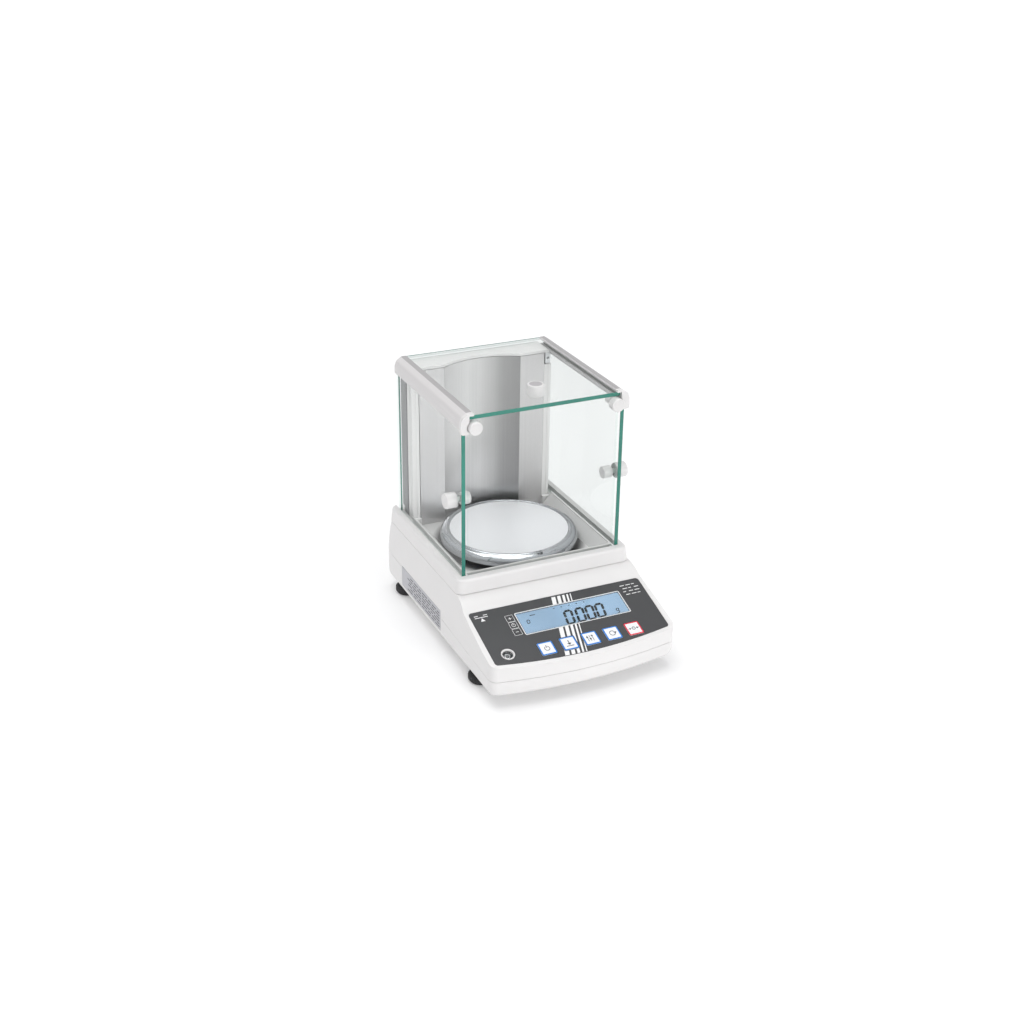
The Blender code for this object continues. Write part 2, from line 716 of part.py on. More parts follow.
def make_rear_wall():
    front = [(-WALL_HALF_WIDTH, WALL_FRONT)] + niche_front(0.0) + [(WALL_HALF_WIDTH, WALL_FRONT)]
    back_y = WALL_FRONT + WALL_SHEET
    back = [(-WALL_HALF_WIDTH, back_y)] + niche_front(WALL_SHEET) + [(WALL_HALF_WIDTH, back_y)]
    finish(prism("rear_panel", front + back[::-1], TRAY_FLOOR + GAP, WALL_HEAD), BRUSHED, 30)
    header_half = 0.0754
    header_front = [(-header_half, WALL_FRONT)] + niche_front(0.0) + [(header_half, WALL_FRONT)]
    header_outline = header_front + [(header_half, COVER_REAR), (-header_half, COVER_REAR)]
    finish(prism("rear_header", header_outline, WALL_HEAD + GAP, LID_LOW - 0.0004), RAIL_GREY)
    cover = box("rear_cover", (-COVER_HALF_WIDTH, COVER_FRONT, TRAY_FLOOR + GAP), (COVER_HALF_WIDTH, COVER_REAR, WALL_HEAD))
    hollow = box("cover_hollow", (-COVER_HALF_WIDTH + 0.002, 0.1100, 0.0810), (COVER_HALF_WIDTH - 0.002, COVER_REAR - 0.002, 0.2475))
    finish(bake(cut(cover, hollow)), RAIL_GREY)
    post = box("right_post", (POST_INNER, WALL_FRONT + 0.0005, TRAY_FLOOR + GAP), (POST_OUTER, POST_REAR, POST_HEAD))
    foot_low = (POST_INNER - 0.00, WALL_FRONT - 0.0040, TRAY_FLOOR + GAP)
    foot = box("post_foot", foot_low, (POST_OUTER, POST_REAR - 0.0010, FOOT_BLOCK_HEAD))
    post = finish(bake(join(post, foot)), WHITE)
    finish(mirrored(post, "left_post"), WHITE)
    bracket_low = (POST_INNER + 0.0015, WALL_FRONT + 0.0020, POST_HEAD + GAP)
    bracket = box("right_rail_bracket", bracket_low, (POST_OUTER - 0.0003, POST_REAR - 0.0010, 0.2494))
    finish(bracket, METAL)
    finish(mirrored(bracket, "left_rail_bracket"), METAL)


# --- Weighing system -----------------------------------------------------------------------------------


def plate_profile():
    """Outer side of the plate from its middle to the skirt's foot, then back inside."""
    bead = 0.0009
    outer = [
        (0.0, PLATE_TOP),
        (PLATE_FLAT, PLATE_TOP),
        (PLATE_FLAT + 0.0010, PLATE_TOP + bead * 0.7),
        (PLATE_FLAT + 0.0030, PLATE_TOP + bead),
        (PLATE_FLAT + 0.0058, PLATE_TOP),
        (PLATE_FLAT + 0.0080, PLATE_TOP - 0.0026),
        (PLATE_RADIUS, PLATE_TOP - 0.0062),
        (PLATE_RADIUS, PLATE_SKIRT_LOW),
    ]
    inner = [
        (PLATE_RADIUS - PLATE_SHEET, PLATE_SKIRT_LOW),
        (PLATE_RADIUS - PLATE_SHEET, PLATE_TOP - 0.0066),
        (PLATE_FLAT + 0.0066, PLATE_TOP - 0.0034),
        (PLATE_FLAT + 0.0028, PLATE_TOP - PLATE_SHEET),
        (0.0, PLATE_TOP - PLATE_SHEET),
    ]
    return outer + inner


def make_weighing_system():
    x, y = PLATE_CENTRE
    plate = lathe("weighing_plate", plate_profile(), 64)
    plate.location = (x, y, 0.0)
    finish(bake(plate), STEEL, 30)
    under = PLATE_TOP - PLATE_SHEET - GAP
    support_profile = [
        (0.0, under),
        (0.0300, under),
        (0.0300, under - 0.0025),
        (0.0100, under - 0.0050),
        (0.0080, under - 0.0060),
        (0.0080, 0.0623),
        (0.0, 0.0623),
    ]
    support = lathe("pan_support", support_profile, 32)
    support.location = (x, y, 0.0)
    finish(bake(support), METAL, 40)
    cell = box("load_cell", (-0.0180, 0.0240, 0.0340), (0.0180, 0.1180, 0.0620))
    slot = rounded_rectangle(0.0400, 0.0960, 0.0410, 0.0550, 0.0060, 4)
    cut(cell, along_x(prism("cell_window", slot, -0.030, 0.030)))
    finish(bake(cell), METAL)
    floor = UNDERSIDE + WALL + GAP
    mount = box("load_cell_mount", (-0.0300, 0.0980, floor), (0.0300, 0.1220, 0.0337))
    finish(mount, METAL)
    board = box("main_board", (-0.0680, -0.0600, 0.0220), (-0.0350, 0.1000, 0.0236))
    parts = box("board_parts", (-0.0640, -0.0400, 0.0230), (-0.0400, 0.0200, 0.0330))
    finish(bake(join(board, parts)), BOARD_GREEN)


# --- Connectors, label, feet and screws ----------------------------------------------------------------


def jack_hole(name):
    return cylinder(name, 0.0052, (-0.0620, 0.130, 0.0560), (-0.0620, 0.150, 0.0560), SMALL_ROUND)


def port_outline(play=0.0):
    return rounded_rectangle(0.0360 - play, 0.0680 + play, 0.0500 - play, 0.0620 + play, 0.0020)


def port_hole(name):
    return along_y(prism(name, port_outline(GAP), 0.130, 0.150))


def make_connectors():
    jack = cylinder("power_jack", 0.0049, (-0.0620, 0.1280, 0.0560), (-0.0620, REAR + 0.0020, 0.0560), SMALL_ROUND)
    bore = cylinder("jack_bore", 0.0030, (-0.0620, 0.1340, 0.0560), (-0.0620, 0.150, 0.0560), 16)
    finish(bake(cut(jack, bore)), BLACK)
    port = along_y(prism("serial_port", port_outline(), 0.1280, REAR + 0.0020))
    mouth = along_y(prism("port_mouth", rounded_rectangle(0.0430, 0.0610, 0.0525, 0.0595, 0.0016), 0.1380, 0.150))
    finish(bake(cut(port, mouth)), METAL)
    label = box("type_label", (-0.0979, -0.0100, 0.0210), (-0.0974 - GAP / 2, 0.0945, 0.0432))
    finish(label, LABEL_SILVER)


def make_feet():
    floor = UNDERSIDE + WALL + GAP
    for corner, (x, y) in FEET.items():
        profile = [(0.0, STEM_TOP), (STEM_RADIUS, STEM_TOP), (STEM_RADIUS, FOOT_HEIGHT), (FOOT_RADIUS - 0.0015, FOOT_HEIGHT)]
        profile += [(FOOT_RADIUS, FOOT_HEIGHT - 0.0015), (FOOT_RADIUS, 0.0020), (FOOT_RADIUS - 0.0015, 0.0), (0.0, 0.0)]
        foot = lathe("foot_" + corner, profile, SMALL_ROUND)
        foot.location = (x, y, 0.0)
        finish(bake(foot), BLACK, 40)
        nut = cylinder("nut_" + corner, NUT_RADIUS, (x, y, floor), (x, y, NUT_TOP), 6)
        drill = cylinder("nut_drill_" + corner, STEM_RADIUS + 0.0003, (x, y, 0.0), (x, y, 0.040), 20)
        finish(bake(cut(nut, drill)), BRASS)


def make_screws():
    low = UNDERSIDE - 0.0008
    for corner, (x, y) in SCREWS.items():
        profile = [(0.0, 0.0290), (0.0016, 0.0290), (0.0016, UNDERSIDE + 0.0011), (0.0036, UNDERSIDE + 0.0011)]
        profile += [(0.0036, low), (0.0, low)]
        screw = lathe("screw_" + corner, profile, 12)
        screw.location = (x, y, 0.0)
        finish(bake(screw), METAL)


clear_scene()
PARTS = make_collection("analytical_balance")
TOOLS = make_collection("tools")
WHITE = make_material("white_plastic", (0.86, 0.86, 0.85), 0.35)
RAIL_GREY = make_material("light_grey_profile", (0.72, 0.71, 0.72), 0.40)
BRUSHED = make_material("brushed_sheet", (0.66, 0.66, 0.67), 0.35, 1.0)
STEEL = make_material("satin_steel", (0.75, 0.76, 0.78), 0.22, 1.0)
METAL = make_material("plain_metal", (0.60, 0.61, 0.62), 0.40, 1.0)
BRASS = make_material("brass_insert", (0.75, 0.58, 0.28), 0.35, 1.0)
GLASS_TINT = make_material("glass", (0.80, 0.93, 0.90), 0.02, 0.0, 0.30)
CLEAR = make_material("clear_window", (0.85, 0.90, 0.92), 0.05, 0.0, 0.30)
DARK_FOIL = make_material("dark_foil", (0.09, 0.09, 0.10), 0.45)
KEY_BLUE = make_material("key_white_blue", (0.85, 0.88, 0.92), 0.40)
KEY_RED = make_material("key_white_red", (0.92, 0.80, 0.80), 0.40)
DISPLAY_BLUE = make_material("display_blue", (0.33, 0.50, 0.66), 0.30)
BOARD_GREEN = make_material("board_green", (0.03, 0.20, 0.09), 0.50)
BLACK = make_material("black_plastic", (0.02, 0.02, 0.02), 0.50)
LABEL_SILVER = make_material("silver_label", (0.55, 0.55, 0.58), 0.40)

make_bottom_shell()
make_top_housing()
make_overlay()
make_keys()
make_display()
make_level()
make_tray()
make_rails()
make_glass()
make_knobs()
make_rear_wall()
make_weighing_system()
make_connectors()
make_feet()
make_screws()
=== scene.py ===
"""Laboratory balance with a glass draft shield: the visible pieces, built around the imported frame."""

import math

import bmesh
import bpy
from bpy.props import FloatProperty, FloatVectorProperty, IntProperty, PointerProperty
from bpy.types import Operator, Panel, PropertyGroup
from mathutils import Matrix, Vector


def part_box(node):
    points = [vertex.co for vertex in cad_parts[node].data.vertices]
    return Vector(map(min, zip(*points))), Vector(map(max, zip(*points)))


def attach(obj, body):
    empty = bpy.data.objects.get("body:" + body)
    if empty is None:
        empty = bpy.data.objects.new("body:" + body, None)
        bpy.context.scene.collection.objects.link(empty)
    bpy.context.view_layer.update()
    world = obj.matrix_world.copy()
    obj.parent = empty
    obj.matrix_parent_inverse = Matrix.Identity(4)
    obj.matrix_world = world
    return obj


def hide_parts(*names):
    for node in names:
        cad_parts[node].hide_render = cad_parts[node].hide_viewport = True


bl_info = {
    "name": "Laboratory Balance",
    "version": (1, 0, 0),
    "blender": (4, 5, 0),
    "location": "3D View > Sidebar > Balance",
    "description": "Builds the visible pieces of a laboratory balance around its frame",
    "category": "Add Mesh",
}

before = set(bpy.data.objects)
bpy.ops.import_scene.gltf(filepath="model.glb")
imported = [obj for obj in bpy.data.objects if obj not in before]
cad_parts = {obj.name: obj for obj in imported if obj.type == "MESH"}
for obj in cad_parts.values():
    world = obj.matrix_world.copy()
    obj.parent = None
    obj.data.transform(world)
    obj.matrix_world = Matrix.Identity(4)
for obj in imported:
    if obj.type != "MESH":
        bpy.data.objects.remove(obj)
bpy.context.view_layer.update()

# Housing, in metres.
HALF_WIDTH = 0.098
FRONT = -0.1345
REAR = 0.141
UNDERSIDE = 0.012
DECK = 0.0763
WALL = 0.0026
SEAM_AT = 0.0297
SEAM_SLOPE = 0.05

# The sloping panel has its own frame: x to the right, y up the slope and z along its normal.
PANEL_FOOT = Vector((0.0, -0.1308, 0.0460))
PANEL_TILT = math.atan2(0.0208, 0.0659)
PANEL = Matrix.Translation(PANEL_FOOT) @ Matrix.Rotation(PANEL_TILT, 4, "X")
FOIL_HALF_WIDTH = 0.0921
FOIL_LENGTH = 0.0690
FOIL_BOW = 0.0076
FOIL_THICKNESS = 0.0009
WINDOW = (-0.0480, 0.0637, 0.0292, 0.0565)
KEYS = ("key_on_off", "key_print", "key_set", "key_function", "key_tare")
KEY_FIRST = -0.0366
KEY_PITCH = 0.0232
KEY_ROW = 0.0070
KEY_HALF = (0.00775, 0.0079)
LEVEL_AT = Vector((-0.0755, 0.0105, 0.0))
LEVEL_RADIUS = 0.0067
PRINT_THICKNESS = 0.00006
DISPLAY_PAINTED_GLOW = 0.12
FIGURE_LEVEL = -0.00158
FIGURE_THICKNESS = 0.00005
FIGURE_SLANT = 0.16
STRIPE_GAP = 0.0020

# Tray and weighing chamber.
TRAY_BASE = DECK + 0.0003
TRAY_TOP = 0.0915
TRAY_FLOOR = 0.0780
DOOR_INNER = 0.0813
DOOR_OUTER = 0.0853
DOOR_FRONT = -0.0348
PANE_FRONT = -0.0351
LID_HIGH = 0.2571
NICHE_AXIS = Vector((0.0, 0.0418, 0.0))
NICHE_RADIUS = 0.0800
WALL_FRONT = 0.1095
WALL_HEAD = 0.2495
REAR_ARRIS = 0.0012
RAIL_TOP = 0.2590
COVER_REAR = 0.1396
HEADER_REAR = 0.1383

POST_LEFT = 0.0702
POST_RIGHT = 0.0784
POST_FRONT = 0.1100
POST_REAR = 0.1220
GROOVE_FLOOR = 0.0866
POCKET_HALF = (0.0680, 0.0788)
POCKET_FRONT = -0.0290
POCKET_REAR = 0.1070

# Rear connectors and side label.
JACK = Vector((-0.0620, 0.1280, 0.0560))
PORT_MIDDLE = Vector((0.0520, 0.1380, 0.0560))
LABEL_FRONT = -0.0098
LABEL_REAR = 0.0943
LABEL_LOW = 0.0212
LABEL_HIGH = 0.0430

# Knobs.
DOOR_KNOB = (-0.0205, 0.1670)
LID_KNOB = Vector((0.0, -0.0140, 0.0))
THUMB = (0.0742, 0.2458)

CORNERS = {
    "front_left": (-1, -0.0790, -0.1190),
    "front_right": (1, -0.0790, -0.1190),
    "rear_left": (-1, 0.1150, 0.1310),
    "rear_right": (1, 0.1150, 0.1310),
}
FOOT_X = 0.0845
FOOT_STEPS = 72
SCREW_X = 0.0850
BODY = "balance_frame"
UP = Vector((0.0, 0.0, 1.0))


def colour_property(label, description, value):
    return FloatVectorProperty(
        name=label, description=description, default=value, subtype="COLOR", size=3, min=0.0, max=1.0
    )


def length_property(label, description, value):
    return FloatProperty(name=label, description=description, default=value, unit="LENGTH", precision=5)


class BalanceSizes(PropertyGroup):
    corner: length_property("Housing corner", "Radius of the housing's upright corners", 0.0090)
    bow: length_property("Front bow", "How far the middle of the front face stands out", 0.0085)
    edge: length_property("Housing edge", "Radius of the edges around the sloping panel", 0.0034)
    seam: length_property("Seam", "Gap between the two housing shells", 0.0004)
    arris: length_property("Glass arris", "Ground edge of the glass panes", 0.0004)
    knob_radius: length_property("Door knob radius", "Radius of the side doors' outer knobs", 0.0077)
    plate_radius: length_property("Plate radius", "Outer radius of the weighing plate", 0.0706)
    round_steps: IntProperty(name="Round steps", description="Steps in a full turn", default=96, min=24)


class BalanceColours(PropertyGroup):
    housing: colour_property("Housing", "Moulded white plastic", (0.765, 0.755, 0.75))
    rail: colour_property("Rails", "Light grey profiles", (0.64, 0.625, 0.625))
    foil: colour_property("Foil", "Dark grey printed foil", (0.037, 0.038, 0.041))
    edge_glass: colour_property("Glass edge", "Cut edge of the panes", (0.012, 0.205, 0.150))
    tint: colour_property("Glass tint", "Colour of the panes", (0.966, 0.973, 0.970))
    display: colour_property("Display", "Backlit display face", (0.27, 0.395, 0.535))
    key_blue: colour_property("Key border", "Border of the ordinary keys", (0.005, 0.20, 0.66))
    key_red: colour_property("Tare border", "Border of the tare key", (0.74, 0.012, 0.045))


# --- Shaders -------------------------------------------------------------------------------------------


def add_node(tree, kind, values=None, **settings):
    """A new node with its settings, and with each input set to a value or linked to a socket."""
    made = tree.nodes.new(kind)
    for name, setting in settings.items():
        setattr(made, name, setting)
    for name, value in (values or {}).items():
        if isinstance(value, bpy.types.NodeSocket):
            tree.links.new(value, made.inputs[name])
        else:
            made.inputs[name].default_value = value
    return made


def start_group(name, inputs, outputs):
    """A new shader node group, with its input node and output node. Each input is (name, kind, default)."""
    tree = bpy.data.node_groups.new(name, "ShaderNodeTree")
    for label, kind, default in inputs:
        socket = tree.interface.new_socket(label, in_out="INPUT", socket_type="NodeSocket" + kind)
        socket.default_value = default
    for label, kind in outputs:
        tree.interface.new_socket(label, in_out="OUTPUT", socket_type="NodeSocket" + kind)
    return tree, tree.nodes.new("NodeGroupInput").outputs, tree.nodes.new("NodeGroupOutput").inputs


SURFACE_OUTPUTS = (("Color", "Color"), ("Roughness", "Float"), ("Normal", "Vector"))


def scaled_tone(tree, colour, factor):
    """The colour times a grey factor."""
    scaled = add_node(tree, "ShaderNodeVectorMath", operation="SCALE")
    tree.links.new(colour, scaled.inputs[0])
    tree.links.new(factor, scaled.inputs["Scale"])
    return scaled.outputs[0]


def map_range(tree, value, low, high, to_low, to_high):
    return add_node(
        tree,
        "ShaderNodeMapRange",
        {"Value": value, "From Min": low, "From Max": high, "To Min": to_low, "To Max": to_high},
    ).outputs[0]


def add_values(tree, first, second):
    total = add_node(tree, "ShaderNodeMath", operation="ADD")
    tree.links.new(first, total.inputs[0])
    tree.links.new(second, total.inputs[1])
    return total.outputs[0]


def moulded_grain():
    """Fine spark-eroded grain, with faint blotches and edges that are paler where they are sharp and
    convex.
    """
    found = bpy.data.node_groups.get("moulded grain")
    if found:
        return found
    tree, given, result = start_group(
        "moulded grain",
        (
            ("Color", "Color", (0.8, 0.8, 0.8, 1.0)),
            ("Roughness", "Float", 0.4),
            ("Grain", "Float", 2500.0),
            ("Depth", "Float", 0.1),
            ("Blotches", "Float", 0.02),
        ),
        SURFACE_OUTPUTS,
    )
    place = add_node(tree, "ShaderNodeTexCoord").outputs["Object"]
    grain = add_node(tree, "ShaderNodeTexNoise", {"Vector": place, "Scale": given["Grain"], "Detail": 2.0})
    cloud = add_node(tree, "ShaderNodeTexNoise", {"Vector": place, "Scale": 22.0, "Detail": 3.0})
    bump = add_node(
        tree,
        "ShaderNodeBump",
        {"Height": grain.outputs["Fac"], "Strength": given["Depth"], "Distance": 0.0001},
    )
    shift = add_node(tree, "ShaderNodeMath", operation="MULTIPLY")
    tree.links.new(map_range(tree, cloud.outputs["Fac"], 0.3, 0.7, -1.0, 1.0), shift.inputs[0])
    tree.links.new(given["Blotches"], shift.inputs[1])
    # Pointiness makes sharp convex edges up to 3 % paler.
    edges = add_node(tree, "ShaderNodeNewGeometry").outputs["Pointiness"]
    paler_edges = map_range(tree, edges, 0.5, 0.62, 1.0, 1.03)
    tone = add_values(tree, shift.outputs[0], paler_edges)
    tree.links.new(scaled_tone(tree, given["Color"], tone), result["Color"])
    tree.links.new(add_values(tree, given["Roughness"], shift.outputs[0]), result["Roughness"])
    tree.links.new(bump.outputs[0], result["Normal"])
    return tree


def drawn_lines():
    """Fine lines along one direction, as on brushed or extruded metal."""
    found = bpy.data.node_groups.get("drawn lines")
    if found:
        return found
    tree, given, result = start_group(
        "drawn lines",
        (
            ("Color", "Color", (0.6, 0.6, 0.6, 1.0)),
            ("Roughness", "Float", 0.35),
            ("Stretch", "Vector", (900.0, 6.0, 900.0)),
            ("Depth", "Float", 0.1),
            ("Contrast", "Float", 0.08),
        ),
        SURFACE_OUTPUTS,
    )
    place = add_node(tree, "ShaderNodeTexCoord").outputs["Object"]
    stretched = add_node(tree, "ShaderNodeVectorMath", operation="MULTIPLY")
    tree.links.new(place, stretched.inputs[0])
    tree.links.new(given["Stretch"], stretched.inputs[1])
    noise = {"Vector": stretched.outputs[0], "Scale": 1.0, "Detail": 3.0}
    lines = add_node(tree, "ShaderNodeTexNoise", noise)
    bump = add_node(
        tree,
        "ShaderNodeBump",
        {"Height": lines.outputs["Fac"], "Strength": given["Depth"], "Distance": 0.0001},
    )
    shift = add_node(tree, "ShaderNodeMath", operation="MULTIPLY")
    tree.links.new(map_range(tree, lines.outputs["Fac"], 0.3, 0.7, -1.0, 1.0), shift.inputs[0])
    tree.links.new(given["Contrast"], shift.inputs[1])
    one = add_node(tree, "ShaderNodeMath", {0: shift.outputs[0], 1: 1.0}, operation="ADD")
    tree.links.new(scaled_tone(tree, given["Color"], one.outputs[0]), result["Color"])
    tree.links.new(add_values(tree, given["Roughness"], shift.outputs[0]), result["Roughness"])
    tree.links.new(bump.outputs[0], result["Normal"])
    return tree


def start_material(name):
    """A new material and its tree, with one Principled shader."""
    material = bpy.data.materials.new(name)
    material.use_nodes = True
    tree = material.node_tree
    return material, tree, tree.nodes["Principled BSDF"]


def surface_material(name, group, values, **constants):
    """A Principled material whose colour, roughness and normal come from one of the surface groups."""
    found = bpy.data.materials.get(name)
    if found:
        return found
    material, tree, shader = start_material(name)
    surface = tree.nodes.new("ShaderNodeGroup")
    surface.node_tree = group
    for label, value in values.items():
        if label == "Color":
            value = (*value, 1.0)
        surface.inputs[label].default_value = value
    tree.links.new(surface.outputs["Color"], shader.inputs["Base Color"])
    tree.links.new(surface.outputs["Roughness"], shader.inputs["Roughness"])
    tree.links.new(surface.outputs["Normal"], shader.inputs["Normal"])
    for label, value in constants.items():
        shader.inputs[label.replace("_", " ")].default_value = value
    return material


def moulded(name, colour, roughness, grain=2500.0, depth=0.10, blotches=0.015, **constants):
    values = {"Color": colour, "Roughness": roughness, "Grain": grain, "Depth": depth, "Blotches": blotches}
    return surface_material(name, moulded_grain(), values, **constants)


def drawn(name, colour, roughness, stretch, depth=0.10, contrast=0.06, **constants):
    values = {"Color": colour, "Roughness": roughness, "Stretch": stretch, "Depth": depth}
    return surface_material(name, drawn_lines(), {**values, "Contrast": contrast}, **constants)


def housing_white():
    colour = bpy.context.scene.balance_colours.housing
    coat = {"Coat_Weight": 0.25, "Coat_Roughness": 0.18}
    return moulded("housing_white", colour, 0.34, 2600.0, 0.10, 0.012, **coat)


def knob_white_painted_shade():
    # A darker copy of the housing's white: painted shade on the knobs and the rail caps.
    colour = [0.92 * c for c in bpy.context.scene.balance_colours.housing]
    return moulded("knob_white_painted_shade", colour, 0.30, 3200.0, 0.06, 0.015, Coat_Weight=0.3, Coat_Roughness=0.12)


def knob_face_grey():
    return moulded("knob_face_grey", (0.40, 0.39, 0.40), 0.42, 3200.0, 0.10, 0.03)


def rail_grey():
    colour = bpy.context.scene.balance_colours.rail
    return drawn("rail_grey", colour, 0.36, (1500.0, 5.0, 1500.0), 0.08, 0.02, Coat_Weight=0.15)


def post_white():
    colour = [1.12 * c for c in bpy.context.scene.balance_colours.housing]
    return drawn("post_white", colour, 0.38, (1500.0, 1500.0, 5.0), 0.06, 0.015)


def niche_steel_painted_reflection():
    """Brushed steel with painted reflection and shade: its colour darkens across the niche, from the side
    nearer the light to the other.
    """
    found = bpy.data.materials.get("niche_steel_painted_reflection")
    if found:
        return found
    material = drawn("niche_steel_painted_reflection", (0.5, 0.5, 0.5), 0.34, (1300.0, 1300.0, 3.0), 0.12, 0.05, Metallic=1.0)
    tree = material.node_tree
    # The ramp paints the niche's reflection and shade by x, light at one side and dark at the other.
    place = add_node(tree, "ShaderNodeTexCoord").outputs["Object"]
    across = add_node(tree, "ShaderNodeSeparateXYZ", {"Vector": place}).outputs["X"]
    tone = add_node(tree, "ShaderNodeValToRGB", {"Fac": map_range(tree, across, -0.045, 0.045, 0.0, 1.0)})
    stops = tone.color_ramp.elements
    stops[0].color = (0.70, 0.69, 0.692, 1.0)
    stops[1].color = (0.34, 0.334, 0.336, 1.0)
    for position, grey in ((0.38, 0.72), (0.62, 0.50), (0.80, 0.37)):
        stops.new(position).color = (grey, 0.985 * grey, 0.988 * grey, 1.0)
    tree.links.new(tone.outputs["Color"], surface_node(tree).inputs["Color"])
    return material


def surface_node(tree):
    """The surface group inside a material."""
    return next(node for node in tree.nodes if node.type == "GROUP")


def wing_steel():
    colour = (0.60, 0.588, 0.592)
    return drawn("wing_steel", colour, 0.40, (1300.0, 1300.0, 3.0), 0.10, 0.04, Metallic=0.9)


def rail_top_painted_shade():
    # Darker grey for the rails' top faces: painted shade.
    return drawn("rail_top_painted_shade", (0.37, 0.362, 0.364), 0.42, (1500.0, 5.0, 1500.0), 0.08, 0.03)


def tray_floor_painted_shadow():
    """The tray's floor: a painted shadow under the plate, dark near its axis, and the tray's own white
    further out.
    """
    found = bpy.data.materials.get("tray_floor_painted_shadow")
    if found:
        return found
    material = moulded("tray_floor_painted_shadow", (0.5, 0.5, 0.5), 0.5, 1500.0, 0.2, 0.03)
    tree = material.node_tree
    # Painted shadow under the plate, fading to the tray's white beyond the plate's rim.
    shadow_fade = map_range(tree, plate_distance(tree), 0.0725, 0.0800, 0.0, 1.0)
    tone = add_node(tree, "ShaderNodeValToRGB", {"Fac": shadow_fade})
    tone.color_ramp.elements[0].color = (0.075, 0.073, 0.073, 1.0)
    tone.color_ramp.elements[1].color = (0.74, 0.73, 0.725, 1.0)
    tree.links.new(tone.outputs["Color"], surface_node(tree).inputs["Color"])
    return material


def cover_grey():
    return moulded("cover_grey", (0.26, 0.26, 0.27), 0.45, 1500.0, 0.2, 0.03)


def black_plastic():
    return moulded("black_moulding", (0.018, 0.018, 0.019), 0.42, 1800.0, 0.25, 0.05)


def foot_rubber():
    return moulded("soft_rubber", (0.014, 0.014, 0.015), 0.62, 1400.0, 0.35, 0.06)


def machined_metal():
    colour = (0.62, 0.63, 0.65)
    return drawn("machined_metal", colour, 0.34, (60.0, 1200.0, 1200.0), 0.15, 0.06, Metallic=1.0)


def zinc_metal():
    return moulded("zinc_metal", (0.62, 0.63, 0.64), 0.30, 900.0, 0.15, 0.06, Metallic=1.0)


def brass_metal():
    return drawn("brass_metal", (0.72, 0.52, 0.22), 0.32, (1200.0, 1200.0, 90.0), 0.15, 0.06, Metallic=1.0)


def board_green():
    return moulded("board_green", (0.02, 0.14, 0.06), 0.38, 500.0, 0.20, 0.04, Coat_Weight=0.4)


def foil_grey():
    colour = bpy.context.scene.balance_colours.foil
    return moulded("foil_grey", colour, 0.40, 4200.0, 0.12, 0.02)


def print_white():
    return moulded("print_white", (0.86, 0.86, 0.86), 0.45, 5000.0, 0.05, 0.01)


def key_white():
    return moulded("key_white", (0.86, 0.87, 0.89), 0.40, 4200.0, 0.08, 0.01)


def key_edge(red):
    colours = bpy.context.scene.balance_colours
    if red:
        return moulded("key_edge_red", colours.key_red, 0.40, 4200.0, 0.08, 0.02)
    return moulded("key_edge_blue", colours.key_blue, 0.40, 4200.0, 0.08, 0.02)


def print_dark():
    return moulded("print_dark", (0.05, 0.055, 0.065), 0.45, 5000.0, 0.05, 0.03)


def segment_dark():
    return moulded("segment_dark", (0.004, 0.006, 0.008), 0.45, 5000.0, 0.03, 0.03, Specular_IOR_Level=0.2)


def label_silver():
    return drawn("label_silver", (0.50, 0.50, 0.53), 0.40, (8.0, 8.0, 1500.0), 0.08, 0.04, Metallic=0.35)


def chrome_rim():
    """Polished steel with faint turning marks around the plate's axis."""
    found = bpy.data.materials.get("chrome_rim")
    if found:
        return found
    material, tree, shader = start_material("chrome_rim")
    radius = plate_distance(tree)
    marks = add_node(tree, "ShaderNodeTexNoise", {"W": radius, "Scale": 2600.0}, noise_dimensions="1D")
    bump = add_node(
        tree, "ShaderNodeBump", {"Height": marks.outputs["Fac"], "Strength": 0.05, "Distance": 0.0001}
    )
    rough = map_range(tree, marks.outputs["Fac"], 0.3, 0.7, 0.05, 0.09)
    tone = add_node(tree, "ShaderNodeValToRGB", {"Fac": marks.outputs["Fac"]})
    tone.color_ramp.elements[0].color = (0.46, 0.475, 0.50, 1.0)
    tone.color_ramp.elements[1].color = (0.56, 0.575, 0.60, 1.0)
    tree.links.new(tone.outputs["Color"], shader.inputs["Base Color"])
    tree.links.new(rough, shader.inputs["Roughness"])
    tree.links.new(bump.outputs[0], shader.inputs["Normal"])
    shader.inputs["Metallic"].default_value = 1.0
    return material


def plate_distance(tree):
    """How far a point lies from the plate's axis."""
    place = add_node(tree, "ShaderNodeTexCoord").outputs["Object"]
    centred = add_node(tree, "ShaderNodeVectorMath", operation="SUBTRACT")
    tree.links.new(place, centred.inputs[0])
    centred.inputs[1].default_value = NICHE_AXIS
    flat = add_node(tree, "ShaderNodeVectorMath", operation="MULTIPLY")
    tree.links.new(centred.outputs[0], flat.inputs[0])
    flat.inputs[1].default_value = (1.0, 1.0, 0.0)
    length = add_node(tree, "ShaderNodeVectorMath", operation="LENGTH")
    tree.links.new(flat.outputs[0], length.inputs[0])
    return length.outputs["Value"]


